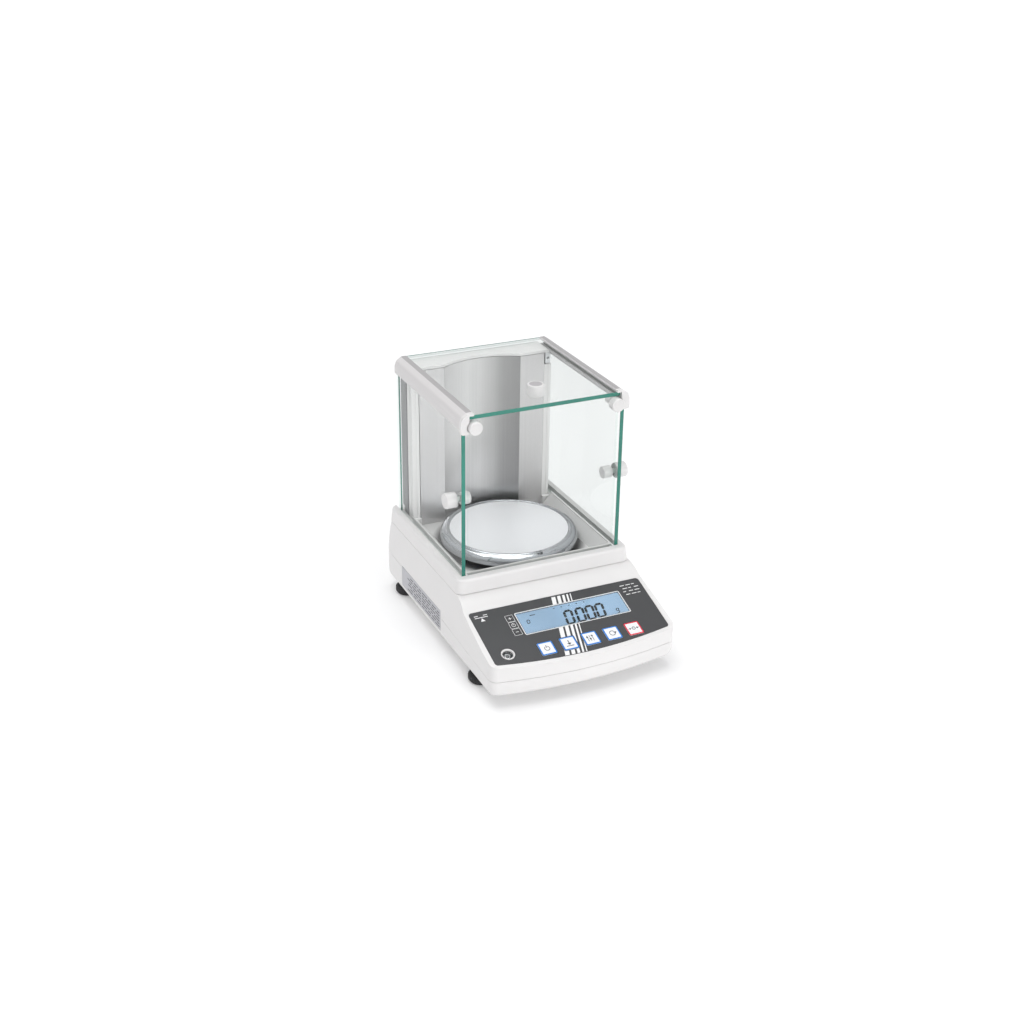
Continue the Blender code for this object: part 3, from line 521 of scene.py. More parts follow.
def satin_plate():
    """Blasted satin steel of the plate's flat top."""
    found = bpy.data.materials.get("satin_plate")
    if found:
        return found
    material, tree, shader = start_material("satin_plate")
    radius = plate_distance(tree)
    rings = add_node(tree, "ShaderNodeTexNoise", {"W": radius, "Scale": 1400.0}, noise_dimensions="1D")
    place = add_node(tree, "ShaderNodeTexCoord").outputs["Object"]
    blast = add_node(tree, "ShaderNodeTexNoise", {"Vector": place, "Scale": 3600.0, "Detail": 2.0})
    height = add_values(tree, rings.outputs["Fac"], blast.outputs["Fac"])
    bump = add_node(tree, "ShaderNodeBump", {"Height": height, "Strength": 0.10, "Distance": 0.0001})
    rough = map_range(tree, blast.outputs["Fac"], 0.3, 0.7, 0.34, 0.42)
    tone = add_node(tree, "ShaderNodeValToRGB", {"Fac": rings.outputs["Fac"]})
    tone.color_ramp.elements[0].color = (0.91, 0.91, 0.935, 1.0)
    tone.color_ramp.elements[1].color = (0.95, 0.95, 0.975, 1.0)
    tree.links.new(tone.outputs["Color"], shader.inputs["Base Color"])
    tree.links.new(rough, shader.inputs["Roughness"])
    tree.links.new(bump.outputs[0], shader.inputs["Normal"])
    shader.inputs["Metallic"].default_value = 0.12
    return material


def clear_glass(name, colour, roughness=0.0, bend=1.3):
    """Clear glass that lets the lamps' light through."""
    found = bpy.data.materials.get(name)
    if found:
        return found
    material, tree, shader = start_material(name)
    place = add_node(tree, "ShaderNodeTexCoord").outputs["Object"]
    haze = add_node(tree, "ShaderNodeTexNoise", {"Vector": place, "Scale": 35.0, "Detail": 4.0})
    smear = map_range(tree, haze.outputs["Fac"], 0.66, 0.8, roughness, roughness + 0.01)
    tone = add_node(tree, "ShaderNodeValToRGB", {"Fac": haze.outputs["Fac"]})
    tone.color_ramp.elements[0].color = (*[0.995 * c for c in colour], 1.0)
    tone.color_ramp.elements[1].color = (*colour, 1.0)
    tree.links.new(tone.outputs["Color"], shader.inputs["Base Color"])
    tree.links.new(smear, shader.inputs["Roughness"])
    shader.inputs["Transmission Weight"].default_value = 1.0
    shader.inputs["IOR"].default_value = bend
    through = add_node(tree, "ShaderNodeBsdfTransparent", {"Color": (*colour, 1.0)})
    path = tree.nodes.new("ShaderNodeLightPath")
    mix = tree.nodes.new("ShaderNodeMixShader")
    tree.links.new(path.outputs["Is Shadow Ray"], mix.inputs["Fac"])
    tree.links.new(shader.outputs[0], mix.inputs[1])
    tree.links.new(through.outputs[0], mix.inputs[2])
    tree.links.new(mix.outputs[0], tree.nodes["Material Output"].inputs["Surface"])
    return material


def thin_glass(name, colour, bend=1.32):
    """A face of clear glass: what lies behind shows straight through, with some mirroring at each angle."""
    found = bpy.data.materials.get(name)
    if found:
        return found
    material, tree, shader = start_material(name)
    place = add_node(tree, "ShaderNodeTexCoord").outputs["Object"]
    haze = add_node(tree, "ShaderNodeTexNoise", {"Vector": place, "Scale": 35.0, "Detail": 4.0})
    tone = add_node(tree, "ShaderNodeValToRGB", {"Fac": haze.outputs["Fac"]})
    tone.color_ramp.elements[0].color = (0.70, 0.73, 0.72, 1.0)
    tone.color_ramp.elements[1].color = (0.80, 0.80, 0.80, 1.0)
    tree.links.new(tone.outputs["Color"], shader.inputs["Base Color"])
    tree.links.new(map_range(tree, haze.outputs["Fac"], 0.45, 0.8, 0.01, 0.05), shader.inputs["Roughness"])
    shader.inputs["Metallic"].default_value = 1.0
    through = add_node(tree, "ShaderNodeBsdfTransparent", {"Color": (*colour, 1.0)})
    mirroring = add_node(tree, "ShaderNodeFresnel", {"IOR": bend})
    outside = add_node(tree, "ShaderNodeMath", {0: 1.0}, operation="SUBTRACT")
    tree.links.new(tree.nodes.new("ShaderNodeNewGeometry").outputs["Backfacing"], outside.inputs[1])
    share = add_node(tree, "ShaderNodeMath", {0: mirroring.outputs[0]}, operation="MULTIPLY")
    tree.links.new(outside.outputs[0], share.inputs[1])
    mix = add_node(tree, "ShaderNodeMixShader", {"Fac": share.outputs[0]})
    tree.links.new(through.outputs[0], mix.inputs[1])
    tree.links.new(shader.outputs[0], mix.inputs[2])
    tree.links.new(mix.outputs[0], tree.nodes["Material Output"].inputs["Surface"])
    return material


def pane_glass():
    return thin_glass("clear_pane", tuple(bpy.context.scene.balance_colours.tint))


def pane_side():
    """The edges of a pane that don't face the front: the same glass, seen through more of it."""
    return thin_glass("pane_side", (0.93, 0.97, 0.955), 1.1)


def pane_rear():
    """The rear edge of the top door, pale and dull."""
    return thin_glass("pane_rear", (0.72, 0.76, 0.75), 1.1)


def window_glass():
    return clear_glass("window_glass", (0.95, 0.97, 0.98), 0.04)


def glass_edge():
    """The green cut edge of float glass, with lighter and darker lengths."""
    found = bpy.data.materials.get("glass_edge")
    if found:
        return found
    material, tree, shader = start_material("glass_edge")
    colour = bpy.context.scene.balance_colours.edge_glass
    place = add_node(tree, "ShaderNodeTexCoord").outputs["Object"]
    lengths = add_node(tree, "ShaderNodeTexNoise", {"Vector": place, "Scale": 16.0, "Detail": 2.0})
    ground = add_node(tree, "ShaderNodeTexNoise", {"Vector": place, "Scale": 2600.0, "Detail": 2.0})
    tone = add_node(tree, "ShaderNodeValToRGB", {"Fac": lengths.outputs["Fac"]})
    tone.color_ramp.elements[0].position = 0.3
    tone.color_ramp.elements[0].color = (*[0.75 * c for c in colour], 1.0)
    tone.color_ramp.elements[1].position = 0.7
    tone.color_ramp.elements[1].color = (*[1.15 * c for c in colour], 1.0)
    bump = add_node(
        tree, "ShaderNodeBump", {"Height": ground.outputs["Fac"], "Strength": 0.2, "Distance": 0.0001}
    )
    rough = map_range(tree, ground.outputs["Fac"], 0.3, 0.7, 0.18, 0.32)
    tree.links.new(tone.outputs["Color"], shader.inputs["Base Color"])
    tree.links.new(rough, shader.inputs["Roughness"])
    tree.links.new(bump.outputs[0], shader.inputs["Normal"])
    shader.inputs["Coat Weight"].default_value = 0.5
    return material


def display_face():
    """Display face with a weak painted glow that brightens it, slightly uneven in its brightness."""
    found = bpy.data.materials.get("display_face")
    if found:
        return found
    material, tree, shader = start_material("display_face")
    colour = bpy.context.scene.balance_colours.display
    place = add_node(tree, "ShaderNodeTexCoord").outputs["Object"]
    glow = add_node(tree, "ShaderNodeTexNoise", {"Vector": place, "Scale": 14.0, "Detail": 1.0})
    tone = add_node(tree, "ShaderNodeValToRGB", {"Fac": glow.outputs["Fac"]})
    tone.color_ramp.elements[0].position = 0.3
    tone.color_ramp.elements[0].color = (*[0.86 * c for c in colour], 1.0)
    tone.color_ramp.elements[1].position = 0.7
    tone.color_ramp.elements[1].color = (*[1.08 * c for c in colour], 1.0)
    tree.links.new(tone.outputs["Color"], shader.inputs["Base Color"])
    tree.links.new(tone.outputs["Color"], shader.inputs["Emission Color"])
    # A weak emission that brightens the face: painted light.
    shader.inputs["Emission Strength"].default_value = DISPLAY_PAINTED_GLOW
    shader.inputs["Roughness"].default_value = 0.3
    return material


# --- Shape helpers -------------------------------------------------------------------------------------


def to_object(bm, name):
    """A new object from this bmesh, with its faces pointing outwards."""
    bmesh.ops.remove_doubles(bm, verts=bm.verts, dist=2e-7)
    bmesh.ops.recalc_face_normals(bm, faces=bm.faces)
    mesh = bpy.data.meshes.new(name)
    bm.to_mesh(mesh)
    bm.free()
    obj = bpy.data.objects.new(name, mesh)
    bpy.context.scene.collection.objects.link(obj)
    return obj


def realize(obj):
    """Applies the modifiers to the mesh."""
    bpy.context.view_layer.update()
    graph = bpy.context.evaluated_depsgraph_get()
    mesh = bpy.data.meshes.new_from_object(obj.evaluated_get(graph))
    obj.modifiers.clear()
    obj.data = mesh
    return obj


def carve(obj, *tools, operation="DIFFERENCE"):
    """Cuts the tools out of the object, or joins them to it, and removes them."""
    for tool in tools:
        cut = obj.modifiers.new("cut", "BOOLEAN")
        cut.solver = "EXACT"
        cut.operation = operation
        cut.object = tool
        realize(obj)
        bpy.data.objects.remove(tool, do_unlink=True)
    return obj


def soft_edges(obj, width, segments=3, angle=35):
    bevel = obj.modifiers.new("edges", "BEVEL")
    bevel.width = width
    bevel.segments = segments
    bevel.limit_method = "ANGLE"
    bevel.angle_limit = math.radians(angle)
    bevel.use_clamp_overlap = True
    return realize(obj)


def place(obj, matrix):
    """Moves the mesh itself, so that the object stays at the origin."""
    obj.data.transform(matrix)
    if matrix.to_3x3().determinant() < 0:
        obj.data.flip_normals()
    return obj


def mirrored(obj, name):
    twin = bpy.data.objects.new(name, obj.data.copy())
    bpy.context.scene.collection.objects.link(twin)
    return place(twin, Matrix.Scale(-1, 4, (1, 0, 0)))


def bevel_verts(bm, verts, offset, segments):
    bmesh.ops.bevel(
        bm, geom=verts, offset=offset, segments=segments, profile=0.5, affect="VERTICES", material=-1
    )


def bevel_edges(bm, edges, offset, segments):
    bmesh.ops.bevel(
        bm, geom=edges, offset=offset, segments=segments, profile=0.5, affect="EDGES", material=-1
    )


def lift(bm, faces, vector):
    """Extrudes the faces and moves the new ones. The old ones go if they were part of a larger shape."""
    alone = all(other in faces for face in faces for edge in face.edges for other in edge.link_faces)
    made = bmesh.ops.extrude_face_region(bm, geom=faces)["geom"]
    if not alone:
        bmesh.ops.delete(bm, geom=faces, context="FACES_ONLY")
    top = [item for item in made if isinstance(item, bmesh.types.BMFace)]
    verts = [item for item in made if isinstance(item, bmesh.types.BMVert)]
    bmesh.ops.translate(bm, vec=vector, verts=verts)
    return top


def flat_outline(bm, corners, segments=5):
    """One flat face. Each corner is (x, y) or (x, y, rounding)."""
    verts = [bm.verts.new((corner[0], corner[1], 0.0)) for corner in corners]
    bm.faces.new(verts)
    for vert, corner in zip(verts, corners):
        if len(corner) > 2:
            bevel_verts(bm, [vert], corner[2], segments)
    return list(bm.faces)


def extruded(name, corners, low, high, segments=5):
    """A flat outline in x and y, given its height."""
    bm = bmesh.new()
    faces = flat_outline(bm, corners, segments)
    lift(bm, faces, (0.0, 0.0, high - low))
    bmesh.ops.translate(bm, vec=(0.0, 0.0, low), verts=bm.verts)
    return to_object(bm, name)


# STAND turns an outline's y into z and its height into y. TURN turns an outline's x and y into y and z.
STAND = Matrix(((1, 0, 0, 0), (0, 0, 1, 0), (0, 1, 0, 0), (0, 0, 0, 1)))
TURN = Matrix(((0, 0, 1, 0), (1, 0, 0, 0), (0, 1, 0, 0), (0, 0, 0, 1)))


def block(name, low, high, corner=0.0, edge=0.0, segments=4):
    """A box whose upright edges are rounded by corner and whose other edges by edge."""
    bm = bmesh.new()
    middle = (Vector(low) + Vector(high)) / 2
    size = Vector(high) - Vector(low)
    bmesh.ops.create_cube(bm, size=1.0, matrix=Matrix.Translation(middle) @ Matrix.Diagonal((*size, 1.0)))
    if corner:
        upright = [e for e in bm.edges if abs((e.verts[0].co - e.verts[1].co).z) > 1e-6]
        bevel_edges(bm, upright, corner, segments)
    if edge:
        ends = (low[2], high[2])
        rims = [e for e in bm.edges if any(all(abs(v.co.z - z) < 1e-6 for v in e.verts) for z in ends)]
        bevel_edges(bm, rims, edge, 3)
    return to_object(bm, name)


def turned(name, profile, steps=None):
    """A piece turned about z. The profile is a line of (radius, height)."""
    steps = steps or bpy.context.scene.balance_sizes.round_steps
    bm = bmesh.new()
    verts = [bm.verts.new((radius, 0.0, height)) for radius, height in profile]
    edges = [bm.edges.new(pair) for pair in zip(verts, verts[1:])]
    bmesh.ops.spin(
        bm,
        geom=verts + edges,
        cent=(0.0, 0.0, 0.0),
        axis=(0.0, 0.0, 1.0),
        angle=math.tau,
        steps=steps,
        use_merge=True,
        use_duplicate=False,
    )
    bmesh.ops.remove_doubles(bm, verts=bm.verts, dist=1e-6)
    return to_object(bm, name)


def rod(name, radius, start, end, segments=32):
    """A plain round bar between two points, used as a cutter."""
    bm = bmesh.new()
    along = Vector(end) - Vector(start)
    turn = along.to_track_quat("Z", "Y").to_matrix().to_4x4()
    middle = Matrix.Translation(Vector(start) + along / 2) @ turn
    bmesh.ops.create_cone(
        bm,
        cap_ends=True,
        segments=segments,
        radius1=radius,
        radius2=radius,
        depth=along.length,
        matrix=middle,
    )
    return to_object(bm, name)


def fillet(centre, radius, start, end, steps=6):
    """Profile points on an arc, from one angle to another in degrees."""
    points = []
    for step in range(steps + 1):
        angle = math.radians(start + (end - start) * step / steps)
        points.append((centre[0] + radius * math.cos(angle), centre[1] + radius * math.sin(angle)))
    return points


def joined(name, objects):
    """One mesh from several closed shapes."""
    bm = bmesh.new()
    for obj in objects:
        bm.from_mesh(obj.data)
        bpy.data.objects.remove(obj, do_unlink=True)
    mesh = bpy.data.meshes.new(name)
    bm.to_mesh(mesh)
    bm.free()
    made = bpy.data.objects.new(name, mesh)
    bpy.context.scene.collection.objects.link(made)
    return made


def bowed_face(bm, half_width, front, rear, bow, corner, height, corner_steps=8, bow_steps=23):
    """A flat face with round corners, whose front edge swells out in the middle."""
    bmesh.ops.create_grid(bm, x_segments=1, y_segments=1, size=0.5)
    for vert in bm.verts:
        vert.co = (vert.co.x * 2 * half_width, front + (vert.co.y + 0.5) * (rear - front), height)
    bevel_verts(bm, list(bm.verts), corner, corner_steps)
    edge = [e for e in bm.edges if all(abs(v.co.y - front) < 1e-6 for v in e.verts)]
    bmesh.ops.subdivide_edges(bm, edges=edge, cuts=bow_steps)
    reach = half_width - corner
    for vert in bm.verts:
        if abs(vert.co.y - front) < 1e-6:
            vert.co.y -= bow * (1 - (vert.co.x / reach) ** 2)
    return list(bm.faces)


def walls(bm, faces, steps, half_width, front, rear):
    """Extrudes through the steps of (height, draft), where a draft draws the sides and front inwards."""
    past_height, past_draft = steps[0]
    for height, draft in steps[1:]:
        faces = lift(bm, faces, (0.0, 0.0, height - past_height))
        across = (half_width - draft) / (half_width - past_draft)
        along = (rear - front - draft) / (rear - front - past_draft)
        for vert in {v for face in faces for v in face.verts}:
            vert.co.x *= across
            vert.co.y = rear + (vert.co.y - rear) * along
        past_height, past_draft = height, draft
    return faces


def settle(obj, body, materials, replaced=(), smooth=35):
    """Finishes a piece: its materials and shading, its body and the nodes that it replaces."""
    painted = [polygon.material_index for polygon in obj.data.polygons]
    obj.data.materials.clear()
    for material in materials:
        obj.data.materials.append(material)
    for polygon, number in zip(obj.data.polygons, painted):
        polygon.material_index = number
    obj.data.shade_smooth()
    obj.data.set_sharp_from_angle(angle=math.radians(smooth))
    flatten = obj.modifiers.new("flat faces", "WEIGHTED_NORMAL")
    flatten.keep_sharp = True
    realize(obj)
    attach(obj, body)
    if replaced:
        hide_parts(*replaced)
    return obj


def paint_faces(obj, chooser):
    """Gives each face the material number that the chooser returns."""
    for polygon in obj.data.polygons:
        polygon.material_index = chooser(polygon)
    return obj


def panel_place(obj):
    return place(obj, PANEL)


# --- Housing -------------------------------------------------------------------------------------------


def panel_height(y):
    """Height of the sloping plane at this y."""
    return PANEL_FOOT.z + (y - PANEL_FOOT.y) * math.tan(PANEL_TILT)


def slope_tool(name, drop):
    """What is cut off above the sloping panel, with the soft step up to the deck behind it."""
    rise = ((-0.0450, 0.0), (-0.0480, 0.0036), (-0.0520, 0.0035), (-0.0555, 0.0030), (-0.0582, 0.0022))
    rise += ((-0.0602, 0.0013), (-0.0622, 0.0005), (-0.0645, 0.0))
    outline = [(-0.0450, 0.1200), (-0.0450, DECK - drop)]
    outline += [(y, min(panel_height(y) + lift_up, DECK) - drop) for y, lift_up in rise[1:]]
    outline += [(-0.1800, panel_height(-0.1800) - drop), (-0.1800, 0.1200)]
    return place(extruded(name, outline, -0.12, 0.12), TURN)


def housing_body(name, inset):
    """The whole housing as one solid, drawn in by a wall thickness if it is the cavity."""
    sizes = bpy.context.scene.balance_sizes
    rounding = [(0.0120, 0.0060), (0.0126, 0.0040), (0.0140, 0.0023), (0.0160, 0.0011), (0.0190, 0.0003)]
    upper = [(0.0230, 0.0), (0.0440, 0.0), (0.0530, 0.0004), (0.0620, 0.0013), (0.0700, 0.0026)]
    steps = rounding + upper + [(DECK, 0.0040)]
    if inset:
        steps = [(0.0120 + inset, 0.0040), (0.0190, 0.0006), (0.0440, 0.0), (0.0620, 0.0013)]
        steps.append((DECK - inset, 0.0040))
    half_width = HALF_WIDTH - inset
    front = FRONT + inset
    rear = REAR - inset
    bm = bmesh.new()
    first_height, first_draft = steps[0]
    faces = bowed_face(bm, half_width, front, rear, sizes.bow, sizes.corner - inset / 2, first_height)
    along = (rear - front - first_draft) / (rear - front)
    for vert in bm.verts:
        vert.co.x *= (half_width - first_draft) / half_width
        vert.co.y = rear + (vert.co.y - rear) * along
    walls(bm, faces, steps, half_width, front, rear)
    body = to_object(bm, name)
    return carve(body, slope_tool(name + "_slope", inset / math.cos(PANEL_TILT)))


def edge_share(middle):
    """The part of the edge radius that an edge gets: all of it beside the panel, little at the deck."""
    if middle.z > DECK - 0.0012:
        return 0.12
    if middle.z < 0.02:
        return 0.28
    return 0.3 if middle.y > -0.0645 else 1.0


def round_panel_edges(obj):
    """Rounds the edges of the slope strongly and the edge of the deck a little."""
    sizes = bpy.context.scene.balance_sizes
    bm = bmesh.new()
    bm.from_mesh(obj.data)
    bmesh.ops.remove_doubles(bm, verts=bm.verts, dist=1e-6)
    bmesh.ops.dissolve_limit(bm, angle_limit=math.radians(0.5), verts=bm.verts, edges=bm.edges)
    weights = bm.edges.layers.float.new("bevel_weight_edge")
    for edge in bm.edges:
        if len(edge.link_faces) == 2 and edge.calc_face_angle() > math.radians(28):
            edge[weights] = edge_share((edge.verts[0].co + edge.verts[1].co) / 2)
    bm.to_mesh(obj.data)
    bm.free()
    bevel = obj.modifiers.new("edges", "BEVEL")
    bevel.width = sizes.edge
    bevel.segments = 6
    bevel.limit_method = "WEIGHT"
    return realize(obj)


def half_of(obj, name, keep_upper):
    """The part of the housing above or below the seam, closed again."""
    sizes = bpy.context.scene.balance_sizes
    bm = bmesh.new()
    bm.from_mesh(obj.data)
    offset = 0.0 if keep_upper else -sizes.seam
    cut = bmesh.ops.bisect_plane(
        bm,
        geom=list(bm.verts) + list(bm.edges) + list(bm.faces),
        plane_co=(0.0, FRONT, SEAM_AT + offset),
        plane_no=(0.0, -SEAM_SLOPE, 1.0),
        clear_inner=keep_upper,
        clear_outer=not keep_upper,
    )
    loop = [item for item in cut["geom_cut"] if isinstance(item, bmesh.types.BMEdge)]
    bmesh.ops.holes_fill(bm, edges=loop, sides=0)
    return to_object(bm, name)


def label_tool():
    return block("label_tool", (-0.1100, -0.0105, 0.0206), (-0.0975, 0.0950, 0.0436))


def key_box(number):
    """The lower left and the upper right corner of a key."""
    x = KEY_FIRST + number * KEY_PITCH
    return (x - KEY_HALF[0], KEY_ROW - KEY_HALF[1]), (x + KEY_HALF[0], KEY_ROW + KEY_HALF[1])


def foil_outline(name, play, low, high):
    """The outline of the foil, with straight sides, rounded corners and a bowed front."""
    bm = bmesh.new()
    faces = bowed_face(bm, FOIL_HALF_WIDTH + play, -play, FOIL_LENGTH + play, FOIL_BOW, 0.0034, low, 5, 23)
    lift(bm, faces, (0.0, 0.0, high - low))
    return to_object(bm, name)


def panel_tools(clearance, low, high):
    """Cutters for the display window, the keys and the level, in the panel's frame."""
    x_low, x_high, y_low, y_high = WINDOW
    window_low = (x_low - clearance, y_low - clearance, low)
    tools = [block("window_tool", window_low, (x_high + clearance, y_high + clearance, high), 0.0012)]
    for number in range(len(KEYS)):
        (left, bottom), (right, top) = key_box(number)
        key_low = (left - clearance, bottom - clearance, low)
        tools.append(block("key_tool", key_low, (right + clearance, top + clearance, high), 0.0013))
    start = LEVEL_AT + low * UP
    tools.append(rod("level_tool", LEVEL_RADIUS + clearance, start, LEVEL_AT + high * UP, 64))
    return tools


class BALANCE_OT_housing(Operator):
    """Builds the two housing shells"""

    bl_idname = "balance.housing"
    bl_label = "Housing shells"

    def execute(self, context):
        whole = round_panel_edges(housing_body("housing", 0.0))
        lower = half_of(whole, "lower_shell", False)
        upper = half_of(whole, "upper_shell", True)
        bpy.data.objects.remove(whole, do_unlink=True)
        carve(lower, housing_body("lower_cavity", WALL), label_tool())
        carve(upper, housing_body("upper_cavity", WALL), label_tool())
        carve(upper, panel_place(foil_outline("foil_tool", 0.0002, -FOIL_THICKNESS - 0.0002, 0.010)))
        carve(upper, *[panel_place(tool) for tool in panel_tools(0.0006, -0.012, 0.004)])
        carve(upper, rod("stem_tool", 0.020, NICHE_AXIS + 0.060 * UP, NICHE_AXIS + 0.090 * UP, 48))
        carve(upper, rod("jack_tool", 0.0052, (JACK.x, 0.130, JACK.z), (JACK.x, 0.150, JACK.z)))
        port = extruded("port_tool", port_corners(0.0003), 0.130, 0.150)
        carve(upper, place(port, STAND))
        for side, foot_y, screw_y in CORNERS.values():
            x = side * FOOT_X
            carve(lower, rod("stem_hole", 0.0041, (x, foot_y, 0.0), (x, foot_y, 0.018)))
            x = side * SCREW_X
            carve(lower, rod("screw_seat", 0.0042, (x, screw_y, 0.0), (x, screw_y, UNDERSIDE + 0.0014)))
            carve(lower, rod("screw_hole", 0.0022, (x, screw_y, 0.0), (x, screw_y, 0.018)))
        settle(lower, BODY, [housing_white()], ["bottom_shell"], 30)
        settle(upper, BODY, [housing_white()], ["top_housing"], 30)
        return {"FINISHED"}


# --- Control panel -------------------------------------------------------------------------------------


def print_on(name, low, high, corner=0.0):
    """A printed rectangle on the foil, from one corner to the other."""
    return block(name, (*low, -PRINT_THICKNESS), (*high, PRINT_THICKNESS), corner)


def frame_print(name, low, high, line, corner=0.0):
    """A printed outline of a rectangle."""
    outer = print_on(name, low, high, corner)
    inner_low = (low[0] + line, low[1] + line, -0.001)
    inner_high = (high[0] - line, high[1] - line, 0.001)
    return carve(outer, block("inner", inner_low, inner_high, max(corner - line, 0.0)))


def ring_print(name, centre, radius, line, height=PRINT_THICKNESS):
    profile = [(radius - line, -height), (radius - line, height), (radius, height), (radius, -height)]
    profile.append(profile[0])
    return place(turned(name, profile, 40), Matrix.Translation((*centre, 0.0)))


class BALANCE_OT_foil(Operator):
    """Builds the dark foil of the control panel and the printing on it"""

    bl_idname = "balance.foil"
    bl_label = "Panel foil"

    def execute(self, context):
        foil = foil_outline("panel_foil", 0.0, -FOIL_THICKNESS, 0.0)
        carve(foil, *panel_tools(0.0003, -0.005, 0.005))
        foil = panel_place(soft_edges(foil, 0.00012, 2))
        settle(foil, BODY, [foil_grey()], ["keypad_overlay"], 30)
        self.stripes()
        self.legends()
        return {"FINISHED"}

    def stripes(self):
        """Five slanting stripes that pass behind the display and the second key."""
        pieces = []
        top, bottom = -0.0044, -0.0238
        for number in range(5):
            width = 0.0042 - 0.0008 * number
            outline = [(bottom, -0.0075), (bottom + width * 1.1, -0.0075)]
            outline += [(top + width, 0.0672), (top, 0.0672)]
            pieces.append(extruded("stripe", outline, -PRINT_THICKNESS, PRINT_THICKNESS))
            top += width + STRIPE_GAP
            bottom += width * 1.1 + STRIPE_GAP * 1.1
        stripes = joined("printed_stripes", pieces)
        front = foil_outline("foil_limit", -0.0006, -0.002, 0.002)
        carve(stripes, front, operation="INTERSECT")
        x_low, x_high, y_low, y_high = WINDOW
        band_low = (x_low - 0.0010, y_low - 0.0012, -0.002)
        carve(stripes, block("window_gap", band_low, (x_high + 0.001, y_high + 0.0012, 0.002), 0.0012))
        for number in (0, 1, 2):
            (left, bottom), (right, top) = key_box(number)
            key_low = (left - 0.0007, bottom - 0.0007, -0.002)
            carve(stripes, block("key_gap", key_low, (right + 0.0007, top + 0.0007, 0.002), 0.0013))
        settle(panel_place(stripes), BODY, [print_white()])

    def legends(self):
        """The window's border, the boxes beside it and short rules that stand for small print."""
        x_low, x_high, y_low, y_high = WINDOW
        border_low = (x_low - 0.0010, y_low - 0.0010)
        border_high = (x_high + 0.0010, y_high + 0.0010)
        pieces = [frame_print("window_border", border_low, border_high, 0.00078, 0.0016)]
        for number in range(3):
            low = 0.0300 + 0.0090 * number
            high = (-0.0512, low + 0.0086)
            pieces.append(frame_print("legend_box", (-0.0594, low), high, 0.0003, 0.0008))
        pieces.append(print_on("minus", (-0.0568, 0.0341), (-0.0538, 0.0346)))
        pieces.append(print_on("plus_bar", (-0.0568, 0.0521), (-0.0538, 0.0526)))
        pieces.append(print_on("plus_stem", (-0.05555, 0.0508), (-0.05505, 0.0539)))
        pieces.append(ring_print("gauge", (-0.0553, 0.0433), 0.0021, 0.0004))
        pieces.append(print_on("gauge_needle", (-0.05545, 0.0433), (-0.05515, 0.0462)))
        for row in range(4):
            start = 0.0690 + 0.0012 * (row % 2)
            for word in range(3):
                left = start + 0.0064 * word
                width = (0.0046, 0.0052, 0.0030)[(word + row) % 3]
                high = (left + width, 0.0630 - 0.0041 * row)
                pieces.append(print_on("rule", (left, 0.0622 - 0.0041 * row), high))
        pivot = [(-0.0835, 0.0560), (-0.0790, 0.0560), (-0.08125, 0.0603)]
        pieces.append(extruded("pivot", pivot, -PRINT_THICKNESS, PRINT_THICKNESS))
        pieces.append(print_on("beam", (-0.0880, 0.0608), (-0.0745, 0.0616)))
        pieces.append(print_on("left_pan", (-0.0880, 0.0632), (-0.0840, 0.0640)))
        pieces.append(print_on("right_pan", (-0.0785, 0.0632), (-0.0745, 0.0640)))
        settle(panel_place(joined("printed_legends", pieces)), BODY, [print_white()])


def key_symbol(number):
    """The symbol on each key, about the key's middle."""
    flat = PRINT_THICKNESS
    dark = []
    if number == 0:
        ring = ring_print("power_ring", (0.0, -0.0004), 0.0028, 0.0006)
        dark.append(carve(ring, block("gap", (-0.0009, 0.0010, -0.001), (0.0009, 0.0050, 0.001))))
        dark.append(print_on("power_bar", (-0.0003, 0.0002), (0.0003, 0.0036)))
    elif number == 1:
        dark.append(print_on("arrow_stem", (-0.0004, -0.0004), (0.0004, 0.0036)))
        dark.append(extruded("arrow_head", [(-0.0021, 0.0), (0.0, -0.0024), (0.0021, 0.0)], -flat, flat))
        dark.append(print_on("tray_bar", (-0.0038, -0.0038), (0.0038, -0.0031)))
    elif number == 2:
        for column in range(3):
            left = -0.0034 + 0.0026 * column
            rise = (0.0010, -0.0014, 0.0020)[column]
            dark.append(print_on("slider", (left, -0.0036), (left + 0.0005, 0.0036)))
            dark.append(print_on("grip", (left - 0.0007, rise), (left + 0.0012, rise + 0.0013)))
    elif number == 3:
        ring = ring_print("cycle_ring", (0.0, 0.0), 0.0031, 0.0006)
        dark.append(carve(ring, block("gap", (0.0, -0.0013, -0.001), (0.0050, 0.0013, 0.001))))
        head = [(0.0014, 0.0010), (0.0046, 0.0010), (0.0030, -0.0014)]
        dark.append(extruded("cycle_head", head, -flat, flat))
    else:
        dark.append(ring_print("zero", (0.0, 0.0), 0.0019, 0.0006))
        for side in (-1, 1):
            left, right = sorted((side * 0.0058, side * 0.0040))
            dark.append(print_on("line", (left, -0.0003), (right, 0.0003)))
            head = [(side * 0.0042, -0.0013), (side * 0.0026, 0.0), (side * 0.0042, 0.0013)]
            dark.append(extruded("head", head[::side], -flat, flat))
    return joined("symbol", dark)


